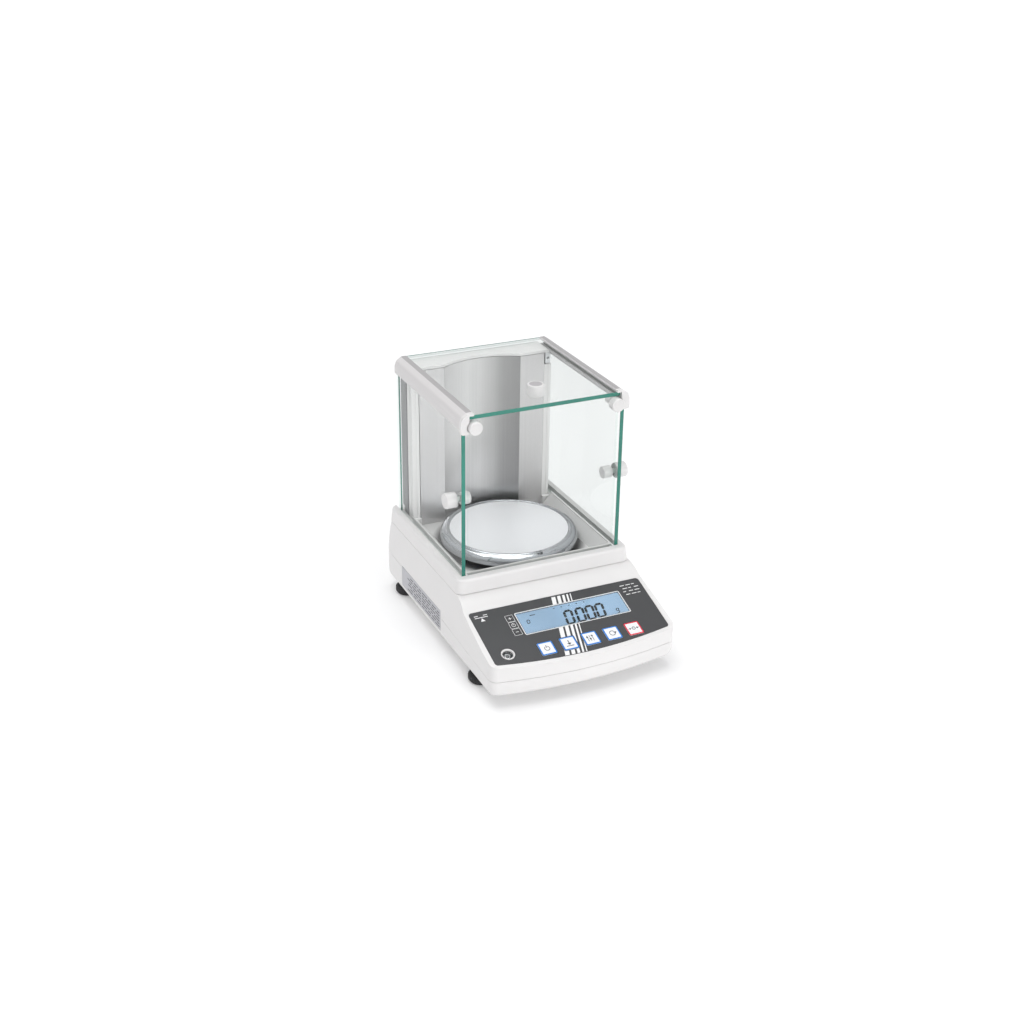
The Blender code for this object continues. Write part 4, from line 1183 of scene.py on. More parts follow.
class BALANCE_OT_keys(Operator):
    """Builds the five key caps with their coloured borders and symbols"""

    bl_idname = "balance.keys"
    bl_label = "Keys"

    def execute(self, context):
        for number, node in enumerate(KEYS):
            (left, bottom), (right, top) = key_box(number)
            body = node.replace("key_", "key_cap_")
            red = node == "key_tare"
            cap = block(node + "_cap", (left, bottom, -0.0110), (right, top, 0.0003), 0.0013, 0.0002)
            self.border(cap)
            settle(panel_place(cap), body, [key_white(), key_edge(red)], [node], 30)
            symbol = key_symbol(number)
            middle = Vector(((left + right) / 2, (bottom + top) / 2, 0.0003 + PRINT_THICKNESS / 2))
            place(symbol, Matrix.Translation(middle))
            symbol.name = node + "_symbol"
            settle(panel_place(symbol), body, [print_dark()])
        return {"FINISHED"}

    def border(self, cap):
        """Insets the top face and gives the ring around it the border's colour."""
        bm = bmesh.new()
        bm.from_mesh(cap.data)
        top = max(bm.faces, key=lambda face: face.calc_center_median().z + face.calc_area())
        ring = bmesh.ops.inset_region(bm, faces=[top], thickness=0.0011, use_even_offset=True)["faces"]
        for face in bm.faces:
            if face in ring or face.calc_center_median().z > 0.00005 and face is not top:
                face.material_index = 1
        bm.to_mesh(cap.data)
        bm.free()


SEGMENTS = {
    "a": ((0, 2), (1, 2)),
    "b": ((1, 2), (1, 1)),
    "c": ((1, 1), (1, 0)),
    "d": ((0, 0), (1, 0)),
    "e": ((0, 1), (0, 0)),
    "f": ((0, 2), (0, 1)),
    "g": ((0, 1), (1, 1)),
}


def segment_figure(name, lit, corner, width, height, line):
    """A figure made of slanting display segments."""
    pieces = []
    for key in lit:
        (x0, y0), (x1, y1) = SEGMENTS[key]
        start = Vector((x0 * width, y0 * height / 2))
        end = Vector((x1 * width, y1 * height / 2))
        along = (end - start).normalized()
        across = Vector((-along.y, along.x)) * line / 2
        start += along * line * 0.06
        end -= along * line * 0.06
        tip = along * line * 0.5
        outline = [start, start + tip - across, end - tip - across]
        outline += [end, end - tip + across, start + tip + across]
        slanted = [(point.x + FIGURE_SLANT * point.y, point.y) for point in outline]
        pieces.append(extruded(name, slanted, 0.0, FIGURE_THICKNESS))
    return place(joined(name, pieces), Matrix.Translation((*corner, FIGURE_LEVEL)))


def display_mark(name, corner, size):
    """A small dark rectangle on the display."""
    mark = block(name, (0.0, 0.0, 0.0), (*size, FIGURE_THICKNESS))
    return place(mark, Matrix.Translation((*corner, FIGURE_LEVEL)))


class BALANCE_OT_display(Operator):
    """Builds the display with its painted glow, its figures and the clear window"""

    bl_idname = "balance.display"
    bl_label = "Display"

    def execute(self, context):
        x_low, x_high, y_low, y_high = WINDOW
        face_low = (x_low - 0.001, y_low - 0.001, -0.0095)
        face = block("display_face", face_low, (x_high + 0.001, y_high + 0.001, -0.0016), 0.001, 0.0002)
        settle(panel_place(face), BODY, [display_face()], ["lcd_module"])
        window_low = (x_low + 0.0003, y_low + 0.0003, -0.0012)
        window_high = (x_high - 0.0003, y_high - 0.0003, -0.0002)
        window = block("window_pane", window_low, window_high, 0.0010, 0.0001)
        settle(panel_place(window), BODY, [window_glass()], ["display_window"])
        settle(panel_place(self.figures()), BODY, [segment_dark()])
        return {"FINISHED"}

    def figures(self):
        """The four large figures with their point, the unit, and the small marks above and beside them."""
        pieces = []
        for left in (-0.0026, 0.0096, 0.0203, 0.0310):
            pieces.append(segment_figure("figure", "abcdef", (left, 0.0308), 0.0074, 0.0166, 0.0026))
        pieces.append(display_mark("point", (0.0072, 0.0296), (0.0018, 0.0018)))
        pieces.append(segment_figure("gram", "abcdfg", (0.0512, 0.0312), 0.0026, 0.0056, 0.0008))
        pieces.append(segment_figure("zero_mark", "abcdef", (-0.0405, 0.0425), 0.0026, 0.0042, 0.0009))
        for number in range(5):
            pieces.append(display_mark("mark", (-0.0085 + 0.0082 * number, 0.0535), (0.0016, 0.0009)))
        pieces.append(display_mark("bar", (-0.0345, 0.0512), (0.0056, 0.0009)))
        return joined("display_figures", pieces)


class BALANCE_OT_level(Operator):
    """Builds the round level in the panel's corner"""

    bl_idname = "balance.level"
    bl_label = "Level"

    def execute(self, context):
        radius = LEVEL_RADIUS
        bezel = [(radius - 0.0015, -0.0088), (radius - 0.0015, -0.0003)]
        bezel += [(radius - 0.0012, 0.0001), (radius - 0.0008, 0.0004), (radius - 0.0003, 0.0004)]
        bezel += [(radius, 0.0001), (radius, -0.0088), (radius - 0.0015, -0.0088)]
        vial = [(0.0, -0.0034), (0.0040, -0.0034), (0.0044, -0.0022), (0.0051, -0.0020)]
        vial += [(0.0051, -0.0086), (0.0, -0.0086)]
        lens = [(0.0, -0.0008), (0.0020, -0.00085), (0.0036, -0.0010), (0.0047, -0.0012), (0.0051, -0.0014)]
        lens += [(0.0051, -0.0019), (0.0, -0.0019)]
        mark = [(0.0020, -0.0034), (0.0020, -0.0032), (0.0024, -0.0032), (0.0024, -0.0034)]
        mark.append(mark[0])
        for name, profile, material, slot, nodes in (
            ("level_ring", bezel, housing_white(), "white_plastic", ["level_bezel"]),
            ("level_cup", vial, black_plastic(), "black_plastic", ["level_vial"]),
            ("level_glass", lens, window_glass(), "clear_window", ["level_lens"]),
            ("level_mark", mark, print_white(), "white_plastic", []),
        ):
            piece = place(turned(name, profile, 64), Matrix.Translation(LEVEL_AT))
            settle(panel_place(piece), BODY, [material], nodes)
        return {"FINISHED"}


# --- Draft shield --------------------------------------------------------------------------------------


class BALANCE_OT_tray(Operator):
    """Builds the tray that carries the draft shield"""

    bl_idname = "balance.tray"
    bl_label = "Shield tray"

    def execute(self, context):
        bm = bmesh.new()
        half_width, front = 0.0940, -0.0453
        faces = bowed_face(bm, half_width, front, REAR, 0.0, 0.0080, TRAY_BASE, 8, 1)
        steps = [(TRAY_BASE, 0.0), (0.0800, 0.0003), (0.0870, 0.0011), (0.0893, 0.0014), (0.0903, 0.0017)]
        steps += [(0.0909, 0.0022), (0.0913, 0.0029), (TRAY_TOP, 0.0037)]
        walls(bm, faces, steps, half_width, front, REAR)
        tray = to_object(bm, "draft_tray")
        carve(tray, self.hopper())
        carve(tray, block("rear_pocket", (-0.0791, 0.1040, TRAY_FLOOR), (0.0791, 0.1346, 0.120)))
        for side in (-1, 1):
            groove_low = (DOOR_INNER - 0.0004, DOOR_FRONT - 0.0004, GROOVE_FLOOR)
            groove = block("groove", groove_low, (DOOR_OUTER + 0.0004, 0.160, 0.120))
            lip_end = block("lip_end", (0.0778, 0.1050, GROOVE_FLOOR), (0.0823, 0.160, 0.120))
            if side < 0:
                groove = place(groove, Matrix.Scale(-1, 4, (1, 0, 0)))
                lip_end = place(lip_end, Matrix.Scale(-1, 4, (1, 0, 0)))
            carve(tray, groove, lip_end)
        pane_low = (-0.0789, PANE_FRONT - 0.0003, 0.0870)
        carve(tray, block("pane_groove", pane_low, (0.0789, PANE_FRONT + 0.0043, 0.120)))
        carve(tray, rod("stem_hole", 0.014, NICHE_AXIS + 0.07 * UP, NICHE_AXIS + 0.09 * UP, 48))
        tray = soft_edges(tray, 0.00035, 2, 50)
        floor_top = TRAY_FLOOR + 0.0005
        # The floor faces take the painted shadow under the plate.
        paint_faces(tray, lambda face: 1 if face.normal.z > 0.9 and face.center.z < floor_top else 0)
        settle(tray, BODY, [housing_white(), tray_floor_painted_shadow()], ["shield_tray"], 30)
        return {"FINISHED"}

    def hopper(self):
        """The pocket that narrows towards its floor."""
        bm = bmesh.new()
        narrow, wide = POCKET_HALF
        corners = [(-narrow, POCKET_FRONT, 0.004), (narrow, POCKET_FRONT, 0.004)]
        corners += [(narrow, POCKET_REAR, 0.004), (-narrow, POCKET_REAR, 0.004)]
        faces = flat_outline(bm, corners)
        bmesh.ops.translate(bm, vec=(0.0, 0.0, TRAY_FLOOR), verts=bm.verts)
        faces = lift(bm, faces, (0.0, 0.0, 0.0125))
        for vert in {v for face in faces for v in face.verts}:
            vert.co.x *= wide / narrow
        lift(bm, faces, (0.0, 0.0, 0.0200))
        return to_object(bm, "hopper")


def pane_material_number(polygon, thickness_axis, rear_start):
    """0 for a pane's faces, 1 for its green edges, 3 for the top door's rear edge, 2 for other edges."""
    normal = polygon.normal
    if abs(normal[thickness_axis]) > 0.99:
        return 0
    if thickness_axis == 1:
        return 2
    at_rear = polygon.center.y > rear_start
    arris = at_rear and max(abs(part) for part in normal) < 0.99
    if thickness_axis == 2:
        if at_rear and not arris:
            return 3
        seen = normal.z > 0.3
    else:
        seen = normal.x * polygon.center.x < 0 and abs(normal.x) > 0.3
    return 1 if normal.y < -0.3 or (arris and seen) else 2


def pane(name, low, high, thickness_axis, body, node, holes=()):
    """A glass pane with ground edges, and on a door a wider arris along the rear."""
    sizes = bpy.context.scene.balance_sizes
    bm = bmesh.new()
    middle = (Vector(low) + Vector(high)) / 2
    size = Vector(high) - Vector(low)
    bmesh.ops.create_cube(bm, size=1.0, matrix=Matrix.Translation(middle) @ Matrix.Diagonal((*size, 1.0)))
    if thickness_axis != 1:
        inner = min(low[0], high[0], key=abs) if thickness_axis == 0 else high[2]
        corner = [e for e in bm.edges if all(v.co.y > high[1] - 1e-6 for v in e.verts)]
        corner = [e for e in corner if all(abs(v.co[thickness_axis] - inner) < 1e-6 for v in e.verts)]
        bevel_edges(bm, corner, REAR_ARRIS, 1)
    bevel_edges(bm, list(bm.edges), sizes.arris, 2)
    glass = carve(to_object(bm, name), *holes)
    rear_start = high[1] - REAR_ARRIS - sizes.arris
    paint_faces(glass, lambda face: pane_material_number(face, thickness_axis, rear_start))
    materials = [pane_glass(), glass_edge(), pane_side(), pane_rear()]
    return settle(glass, body, materials, [node], 20)


class BALANCE_OT_glass(Operator):
    """Builds the four panes of the draft shield"""

    bl_idname = "balance.glass"
    bl_label = "Glass panes"

    def execute(self, context):
        x, z = THUMB
        holes = [rod("hole", 0.0028, (side * x, -0.06, z), (side * x, -0.02, z)) for side in (-1, 1)]
        pane("front_pane", *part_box("front_glass"), 1, BODY, "front_glass", holes)
        y, z = DOOR_KNOB
        for word, side in (("left", -1), ("right", 1)):
            hole = rod("hole", 0.0030, (side * 0.070, y, z), (side * 0.095, y, z))
            node = word + "_door_glass"
            pane(word + "_door_pane", *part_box(node), 0, word + "_door", node, [hole])
        pane("top_door_pane", *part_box("top_door_glass"), 2, "top_door", "top_door_glass")
        return {"FINISHED"}


RAIL_CORNERS = (
    (0.0746, 0.2574, 0.0003),
    (0.0746, 0.2597, 0.0005),
    (0.0801, 0.2597, 0.0008),
    (0.0858, 0.2560, 0.0014),
    (0.0876, 0.2508, 0.0012),
    (0.0876, 0.2430, 0.0006),
    (0.0857, 0.2430, 0.0003),
    (0.0857, 0.2496),
    (0.0809, 0.2496),
    (0.0809, 0.2460, 0.0004),
    (0.0790, 0.2460, 0.0004),
    (0.0790, 0.2498),
    (0.0758, 0.2498, 0.0004),
    (0.0758, 0.2528),
    (0.0793, 0.2528),
    (0.0793, 0.2574),
)
CAP_CORNERS = (
    (0.0746, 0.2574, 0.0004),
    (0.0746, 0.2599, 0.0008),
    (0.0803, 0.2599, 0.0014),
    (0.0861, 0.2561, 0.0018),
    (0.0880, 0.2508, 0.0016),
    (0.0880, 0.2412, 0.0012),
    (0.0862, 0.2396, 0.0010),
    (0.0793, 0.2396, 0.0008),
    (0.0793, 0.2574),
)


class BALANCE_OT_rails(Operator):
    """Builds the rails over the side doors and their front caps"""

    bl_idname = "balance.rails"
    bl_label = "Rails"

    def execute(self, context):
        rail = place(extruded("right_rail_profile", RAIL_CORNERS, DOOR_FRONT, 0.1313), STAND)
        notch = block("notch", (0.0600, -0.0600, 0.2300), (0.0793, PANE_FRONT + 0.0043, 0.25285))
        carve(rail, notch)
        left_rail = mirrored(rail, "left_rail_profile")
        cap = place(extruded("right_rail_end", CAP_CORNERS, -0.0398, DOOR_FRONT - 0.0003), STAND)
        x, z = THUMB
        carve(cap, rod("thumb_tool", 0.0074, (x, -0.060, z), (x, -0.020, z), 64))
        soft_edges(cap, 0.0006, 3, 60)
        left_cap = mirrored(cap, "left_rail_end")
        for piece, node in ((rail, "right_rail"), (left_rail, "left_rail")):
            # The rails' top faces take the darker grey of painted shade.
            paint_faces(piece, lambda face: 1 if face.normal.z > 0.9 and face.center.z > RAIL_TOP else 0)
            settle(piece, BODY, [rail_grey(), rail_top_painted_shade()], [node])
        settle(cap, BODY, [knob_white_painted_shade()], ["right_rail_cap"])
        settle(left_cap, BODY, [knob_white_painted_shade()], ["left_rail_cap"])
        return {"FINISHED"}


def knob_profile(radius, height, rounding=0.0010, dish=0.0):
    """A round knob standing on z = 0, with a rounded rim and a shallow dish in its face."""
    centre = (radius - rounding, height - rounding)
    rim = fillet(centre, rounding, 90, 0, 5)
    face = [(0.0, height - dish)]
    if dish:
        face += [(radius - 0.0022, height - dish), (radius - 0.0019, height)]
    foot = [(radius, 0.0006), (radius - 0.0005, 0.0), (0.0, 0.0)]
    return face + rim + foot


class BALANCE_OT_knobs(Operator):
    """Builds the door knobs, the knob of the top door and the thumb screws"""

    bl_idname = "balance.knobs"
    bl_label = "Knobs"

    def execute(self, context):
        sizes = context.scene.balance_sizes
        y, z = DOOR_KNOB
        thumb_x, thumb_z = THUMB
        for word, side in (("left", -1), ("right", 1)):
            body = word + "_door"
            facing = Matrix.Rotation(side * math.pi / 2, 4, "Y")
            knob = turned(word + "_knob", knob_profile(sizes.knob_radius, 0.0116, 0.0012, 0.0002))
            shank = rod("shank", 0.0026, (0.0, 0.0, -0.0043), (0.0, 0.0, 0.001))
            carve(knob, shank, operation="UNION")
            place(knob, Matrix.Translation((side * (DOOR_OUTER + 0.0002), y, z)) @ facing)
            settle(knob, body, [knob_white_painted_shade()], [word + "_door_knob"])
            nut = turned(word + "_inner_knob", knob_profile(0.0062, 0.0096, 0.0010, 0.0002))
            back = Matrix.Rotation(-side * math.pi / 2, 4, "Y")
            place(nut, Matrix.Translation((side * (DOOR_INNER - 0.0003), y, z)) @ back)
            settle(nut, body, [knob_white_painted_shade()], [word + "_knob_nut"])
            forward = Matrix.Rotation(math.pi / 2, 4, "X")
            thumb = turned(word + "_thumb", knob_profile(0.0068, 0.0086, 0.0010, 0.0002))
            carve(thumb, rod("shank", 0.0024, (0.0, 0.0, -0.0080), (0.0, 0.0, 0.001)), operation="UNION")
            place(thumb, Matrix.Translation((side * thumb_x, PANE_FRONT - 0.0003, thumb_z)) @ forward)
            settle(thumb, word + "_thumb", [knob_white_painted_shade()], [word + "_thumb_screw"])
            pane_nut = turned(word + "_inner_nut", knob_profile(0.0040, 0.0080, 0.0006))
            carve(pane_nut, rod("bore", 0.0027, (0.0, 0.0, -0.001), (0.0, 0.0, 0.0052)))
            backward = Matrix.Rotation(-math.pi / 2, 4, "X")
            place(pane_nut, Matrix.Translation((side * thumb_x, PANE_FRONT + 0.0043, thumb_z)) @ backward)
            settle(pane_nut, BODY, [knob_white_painted_shade()], [word + "_pane_nut"])
        top = turned("lid_knob", knob_profile(0.0081, 0.0116, 0.0008, 0.0003))
        paint_faces(top, lambda face: 1 if face.center.z > 0.0112 and face.center.xy.length < 0.0062 else 0)
        place(top, Matrix.Translation((LID_KNOB.x, LID_KNOB.y, LID_HIGH + 0.0002)))
        settle(top, "top_door", [knob_white_painted_shade(), knob_face_grey()], ["top_door_knob"])
        return {"FINISHED"}


def niche_reach():
    """Half the width of the niche's opening, where its round part meets the flat wings."""
    return math.sqrt(NICHE_RADIUS**2 - (WALL_FRONT - NICHE_AXIS.y) ** 2)


class BALANCE_OT_rear_wall(Operator):
    """Builds the rear wall with its round niche, its header, cover and posts"""

    bl_idname = "balance.rear_wall"
    bl_label = "Rear wall"

    def execute(self, context):
        self.niche()
        self.header()
        self.cover()
        self.posts()
        return {"FINISHED"}

    def plan_line(self, bm, half_width):
        """The bent line of the wall's front surface, as one row of joined edges."""
        reach = niche_reach()
        half_angle = math.asin(reach / NICHE_RADIUS)
        start = bm.verts.new((reach, WALL_FRONT, TRAY_FLOOR + 0.0003))
        arc = bmesh.ops.spin(
            bm,
            geom=[start],
            cent=NICHE_AXIS + start.co.z * UP,
            axis=UP,
            angle=2 * half_angle,
            steps=40,
            use_duplicate=False,
        )
        last = [item for item in arc["geom_last"] if isinstance(item, bmesh.types.BMVert)][0]
        for vert, side in ((start, 1), (last, -1)):
            end = bm.verts.new((side * half_width, WALL_FRONT, start.co.z))
            bm.edges.new((vert, end))
        return list(bm.edges)

    def niche(self):
        bm = bmesh.new()
        edges = self.plan_line(bm, 0.0699)
        made = bmesh.ops.extrude_edge_only(bm, edges=edges)["geom"]
        verts = [item for item in made if isinstance(item, bmesh.types.BMVert)]
        bmesh.ops.translate(bm, vec=(0.0, 0.0, WALL_HEAD - TRAY_FLOOR - 0.0003), verts=verts)
        bmesh.ops.recalc_face_normals(bm, faces=bm.faces)
        if sum(face.normal.y * face.calc_area() for face in bm.faces) > 0:
            bmesh.ops.reverse_faces(bm, faces=bm.faces)
        wall = to_open_object(bm, "niche_wall")
        thick = wall.modifiers.new("wall", "SOLIDIFY")
        thick.thickness = 0.0018
        thick.offset = -1.0
        realize(wall)
        wing = niche_reach() - 0.0003
        paint_faces(wall, lambda face: 1 if abs(face.center.x) > wing else 0)
        settle(wall, BODY, [niche_steel_painted_reflection(), wing_steel()], ["rear_panel"], 25)

    def header(self):
        bm = bmesh.new()
        edges = self.plan_line(bm, 0.0754)
        for vert in bm.verts:
            vert.co.z = WALL_HEAD + 0.0003
        made = bmesh.ops.extrude_edge_only(bm, edges=edges)["geom"]
        verts = [item for item in made if isinstance(item, bmesh.types.BMVert)]
        for vert in verts:
            vert.co.y = HEADER_REAR
        faces = list(bm.faces)
        lift(bm, faces, (0.0, 0.0, 0.0028))
        header = to_object(bm, "rear_header_strip")
        settle(soft_edges(header, 0.0003, 2, 50), BODY, [post_white()], ["rear_header"])

    def cover(self):
        low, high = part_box("rear_cover")
        cover_low = (low.x, low.y, TRAY_TOP + 0.0004)
        cover = block("rear_cover_sheet", cover_low, (high.x, COVER_REAR, high.z), 0.0010, 0.0006)
        carve(cover, block("skirt", tuple(low), (high.x, high.y, 0.1000), 0.0010), operation="UNION")
        inner_low = (low.x + 0.0018, 0.1100, low.z + 0.0018)
        hollow = block("hollow", inner_low, (high.x - 0.0018, high.y - 0.0018, high.z - 0.0018))
        carve(cover, hollow)
        settle(cover, BODY, [cover_grey()], ["rear_cover"])

    def posts(self):
        corners = [(POST_LEFT, POST_FRONT, 0.0006), (0.0736, POST_FRONT), (0.0736, 0.1106)]
        corners += [(0.0750, 0.1106), (0.0750, POST_FRONT), (POST_RIGHT, POST_FRONT, 0.0006)]
        corners += [(POST_RIGHT, 0.1135), (0.0778, 0.1135), (0.0778, 0.1150), (POST_RIGHT, 0.1150)]
        corners += [(POST_RIGHT, POST_REAR, 0.0006), (POST_LEFT, POST_REAR, 0.0006)]
        post = extruded("right_upright", corners, 0.0868, 0.2368, 3)
        foot_low = (POST_LEFT, 0.1060, TRAY_FLOOR + 0.0003)
        foot = block("foot", foot_low, (POST_RIGHT, 0.1210, 0.0872), 0.0008, 0.0006)
        carve(post, foot, operation="UNION")
        bracket = block("right_bracket", (0.0719, 0.1115, 0.2371), (0.0780, 0.1210, 0.2494), 0.0006, 0.0003)
        hole = rod("hole", 0.0016, (0.0749, 0.1000, 0.2432), (0.0749, 0.1135, 0.2432))
        carve(bracket, hole)
        left_post = mirrored(post, "left_upright")
        left_bracket = mirrored(bracket, "left_bracket")
        settle(post, BODY, [post_white()], ["right_post"])
        settle(left_post, BODY, [post_white()], ["left_post"])
        settle(bracket, BODY, [zinc_metal()], ["right_rail_bracket"])
        settle(left_bracket, BODY, [zinc_metal()], ["left_rail_bracket"])


def to_open_object(bm, name):
    """A new object from a bmesh whose faces already point the right way."""
    mesh = bpy.data.meshes.new(name)
    bm.to_mesh(mesh)
    bm.free()
    obj = bpy.data.objects.new(name, mesh)
    bpy.context.scene.collection.objects.link(obj)
    return obj


# --- Plate, feet and fittings --------------------------------------------------------------------------


class BALANCE_OT_plate(Operator):
    """Builds the weighing plate"""

    bl_idname = "balance.plate"
    bl_label = "Weighing plate"

    def execute(self, context):
        radius = context.scene.balance_sizes.plate_radius
        flat = 0.0935
        profile = [(0.0, flat), (0.0300, flat), (0.0608, flat), (0.0614, flat + 0.0002)]
        profile += fillet((0.0634, flat - 0.0010), 0.0020, 130, 30, 8)
        profile += fillet((0.0640, flat - 0.0066), 0.0066, 75, 5, 10)
        profile += [(radius, flat - 0.0062), (radius, 0.0840), (radius - 0.0003, 0.0832)]
        profile += [(radius - 0.0011, 0.0832), (radius - 0.0014, 0.0840), (radius - 0.0014, flat - 0.0064)]
        profile.append((0.0680, flat - 0.0034))
        profile += [(0.0642, flat - 0.0015), (0.0, flat - 0.0015)]
        plate = turned("steel_plate", profile, 128)
        paint_faces(plate, lambda face: 0 if face.center.xy.length < 0.0606 and face.normal.z > 0.9 else 1)
        place(plate, Matrix.Translation(NICHE_AXIS))
        settle(plate, "pan", [satin_plate(), chrome_rim()], ["weighing_plate"], 30)
        return {"FINISHED"}


class BALANCE_OT_feet(Operator):
    """Builds the levelling feet with their ribbed rims"""

    bl_idname = "balance.feet"
    bl_label = "Levelling feet"

    def execute(self, context):
        for corner, (side, y, _) in CORNERS.items():
            profile = [(0.0, 0.0255), (0.0030, 0.0255), (0.0035, 0.0250), (0.0035, 0.0095)]
            profile += [(0.0060, 0.0088), (0.0100, 0.0085), (0.0112, 0.0080), (0.0119, 0.0070)]
            profile += [(0.0119, 0.0026), (0.0112, 0.0010), (0.0104, 0.0), (0.0080, 0.0), (0.0, 0.0)]
            foot = turned("level_foot_" + corner + "_pad", profile, FOOT_STEPS)
            self.ribs(foot)
            place(foot, Matrix.Translation((side * FOOT_X, y, 0.0)))
            materials = [foot_rubber(), zinc_metal()]
            settle(foot, "level_foot_" + corner, materials, ["foot_" + corner], 40)
        return {"FINISHED"}

    def ribs(self, foot):
        """Pushes the rim's points outwards, except every third row, and marks the stem as metal."""
        for vert in foot.data.vertices:
            distance = vert.co.xy.length
            if 0.0117 < distance < 0.0121:
                step = round(math.atan2(vert.co.y, vert.co.x) / math.tau * FOOT_STEPS)
                if step % 3:
                    vert.co.x *= 0.0125 / distance
                    vert.co.y *= 0.0125 / distance
        paint_faces(foot, lambda polygon: 1 if polygon.center.z > 0.0096 else 0)


class BALANCE_OT_screws(Operator):
    """Builds the housing screws with their cross slots"""

    bl_idname = "balance.screws"
    bl_label = "Housing screws"

    def execute(self, context):
        for corner, (side, _, y) in CORNERS.items():
            profile = [(0.0, 0.0290), (0.0012, 0.0290), (0.0016, 0.0280), (0.0016, 0.0131)]
            profile += [(0.0036, 0.0131), (0.0036, 0.0122), (0.0030, 0.0114), (0.0018, 0.0112)]
            profile.append((0.0, 0.0112))
            screw = turned("housing_screw_" + corner, profile, 40)
            carve(screw, block("slot", (-0.0020, -0.0004, 0.0105), (0.0020, 0.0004, 0.0121)))
            carve(screw, block("slot", (-0.0004, -0.0020, 0.0105), (0.0004, 0.0020, 0.0121)))
            place(screw, Matrix.Translation((side * SCREW_X, y, 0.0)))
            settle(screw, BODY, [zinc_metal()], ["screw_" + corner])
        return {"FINISHED"}


def port_corners(play=0.0):
    """Outline of the serial port, wider at its top."""
    return [
        (0.0372 - play, 0.0500 - play, 0.002),
        (0.0668 + play, 0.0500 - play, 0.002),
        (0.0680 + play, 0.0620 + play, 0.002),
        (0.0360 - play, 0.0620 + play, 0.002),
    ]


class BALANCE_OT_connectors(Operator):
    """Builds the power inlet and the serial port at the rear"""

    bl_idname = "balance.connectors"
    bl_label = "Rear connectors"

    def execute(self, context):
        flange = [(0.0, 0.0050), (0.0031, 0.0050), (0.0031, 0.0150), (0.0046, 0.0150), (0.0049, 0.0146)]
        flange += [(0.0049, 0.0), (0.0, 0.0)]
        jack = turned("power_inlet", flange, 48)
        to_rear = Matrix.Translation(JACK) @ Matrix.Rotation(-math.pi / 2, 4, "X")
        place(jack, to_rear)
        settle(jack, BODY, [black_plastic()], ["power_jack"])
        point = [(0.0, 0.0135), (0.0006, 0.0132), (0.0008, 0.0125), (0.0008, 0.0048), (0.0, 0.0048)]
        pin = place(turned("power_pin", point, 24), to_rear)
        settle(pin, BODY, [zinc_metal()])
        shell = place(extruded("serial_shell", port_corners(), 0.1280, 0.1428, 6), STAND)
        mouth = [(0.0428, 0.0521, 0.0016), (0.0612, 0.0521, 0.0016)]
        mouth += [(0.0622, 0.0599, 0.0016), (0.0418, 0.0599, 0.0016)]
        carve(shell, place(extruded("mouth", mouth, PORT_MIDDLE.y, 0.150), STAND))
        for x in (0.0390, 0.0650):
            carve(shell, rod("thread", 0.0013, (x, 0.135, PORT_MIDDLE.z), (x, 0.150, PORT_MIDDLE.z), 24))
        settle(soft_edges(shell, 0.0003, 2, 50), BODY, [zinc_metal()], ["serial_port"])
        pins = []
        for row, count in ((0.0574, 5), (0.0547, 4)):
            for number in range(count):
                x = PORT_MIDDLE.x + (number - (count - 1) / 2) * 0.0028
                pins.append(rod("pin", 0.0005, (x, 0.1382, row), (x, 0.1410, row), 12))
        settle(joined("serial_pins", pins), BODY, [brass_metal()])
        return {"FINISHED"}


class BALANCE_OT_label(Operator):
    """Builds the side label with plain ruled lines"""

    bl_idname = "balance.label"
    bl_label = "Side label"

    def execute(self, context):
        outline = [(LABEL_FRONT, LABEL_LOW, 0.0010), (LABEL_REAR, LABEL_LOW, 0.0010)]
        outline += [(LABEL_REAR, LABEL_HIGH, 0.0010), (LABEL_FRONT, LABEL_HIGH, 0.0010)]
        label = place(extruded("side_label", outline, -0.0980, -0.09752), TURN)
        settle(label, BODY, [label_silver()], ["type_label"])
        rules = []
        for row in range(6):
            height = 0.0232 + 0.0031 * row
            start = -0.0075
            for word in range(7):
                width = (0.0105, 0.0062, 0.0140, 0.0078)[(word * 3 + row) % 4]
                if start + width < 0.0925:
                    low = (-0.09806, start, height)
                    rules.append(block("rule", low, (-0.09798, start + width, height + 0.0011)))
                start += width + 0.0026
        settle(joined("label_rules", rules), BODY, [print_dark()])
        return {"FINISHED"}


class BALANCE_OT_inner(Operator):
    """Gives the inner pieces of the frame their materials"""

    bl_idname = "balance.inner"
    bl_label = "Inner pieces"

    def execute(self, context):
        finishes = {
            "pan_support": machined_metal(),
            "load_cell": machined_metal(),
            "load_cell_mount": machined_metal(),
            "display_board": board_green(),
            "main_board": board_green(),
        }
        for corner in CORNERS:
            finishes["nut_" + corner] = brass_metal()
        for node, material in finishes.items():
            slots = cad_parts[node].material_slots
            for slot in slots:
                slot.material = material
        return {"FINISHED"}


# --- Stage ---------------------------------------------------------------------------------------------

CAMERA_YAW = math.radians(-25.22)
CAMERA_PITCH = math.radians(25.62)
CAMERA_ROLL = math.radians(0.77)
CAMERA_DISTANCE = 1.4676
CAMERA_TARGET = Vector((-0.0164, 0.0, 0.1315))
CAMERA_LENS = 52.23


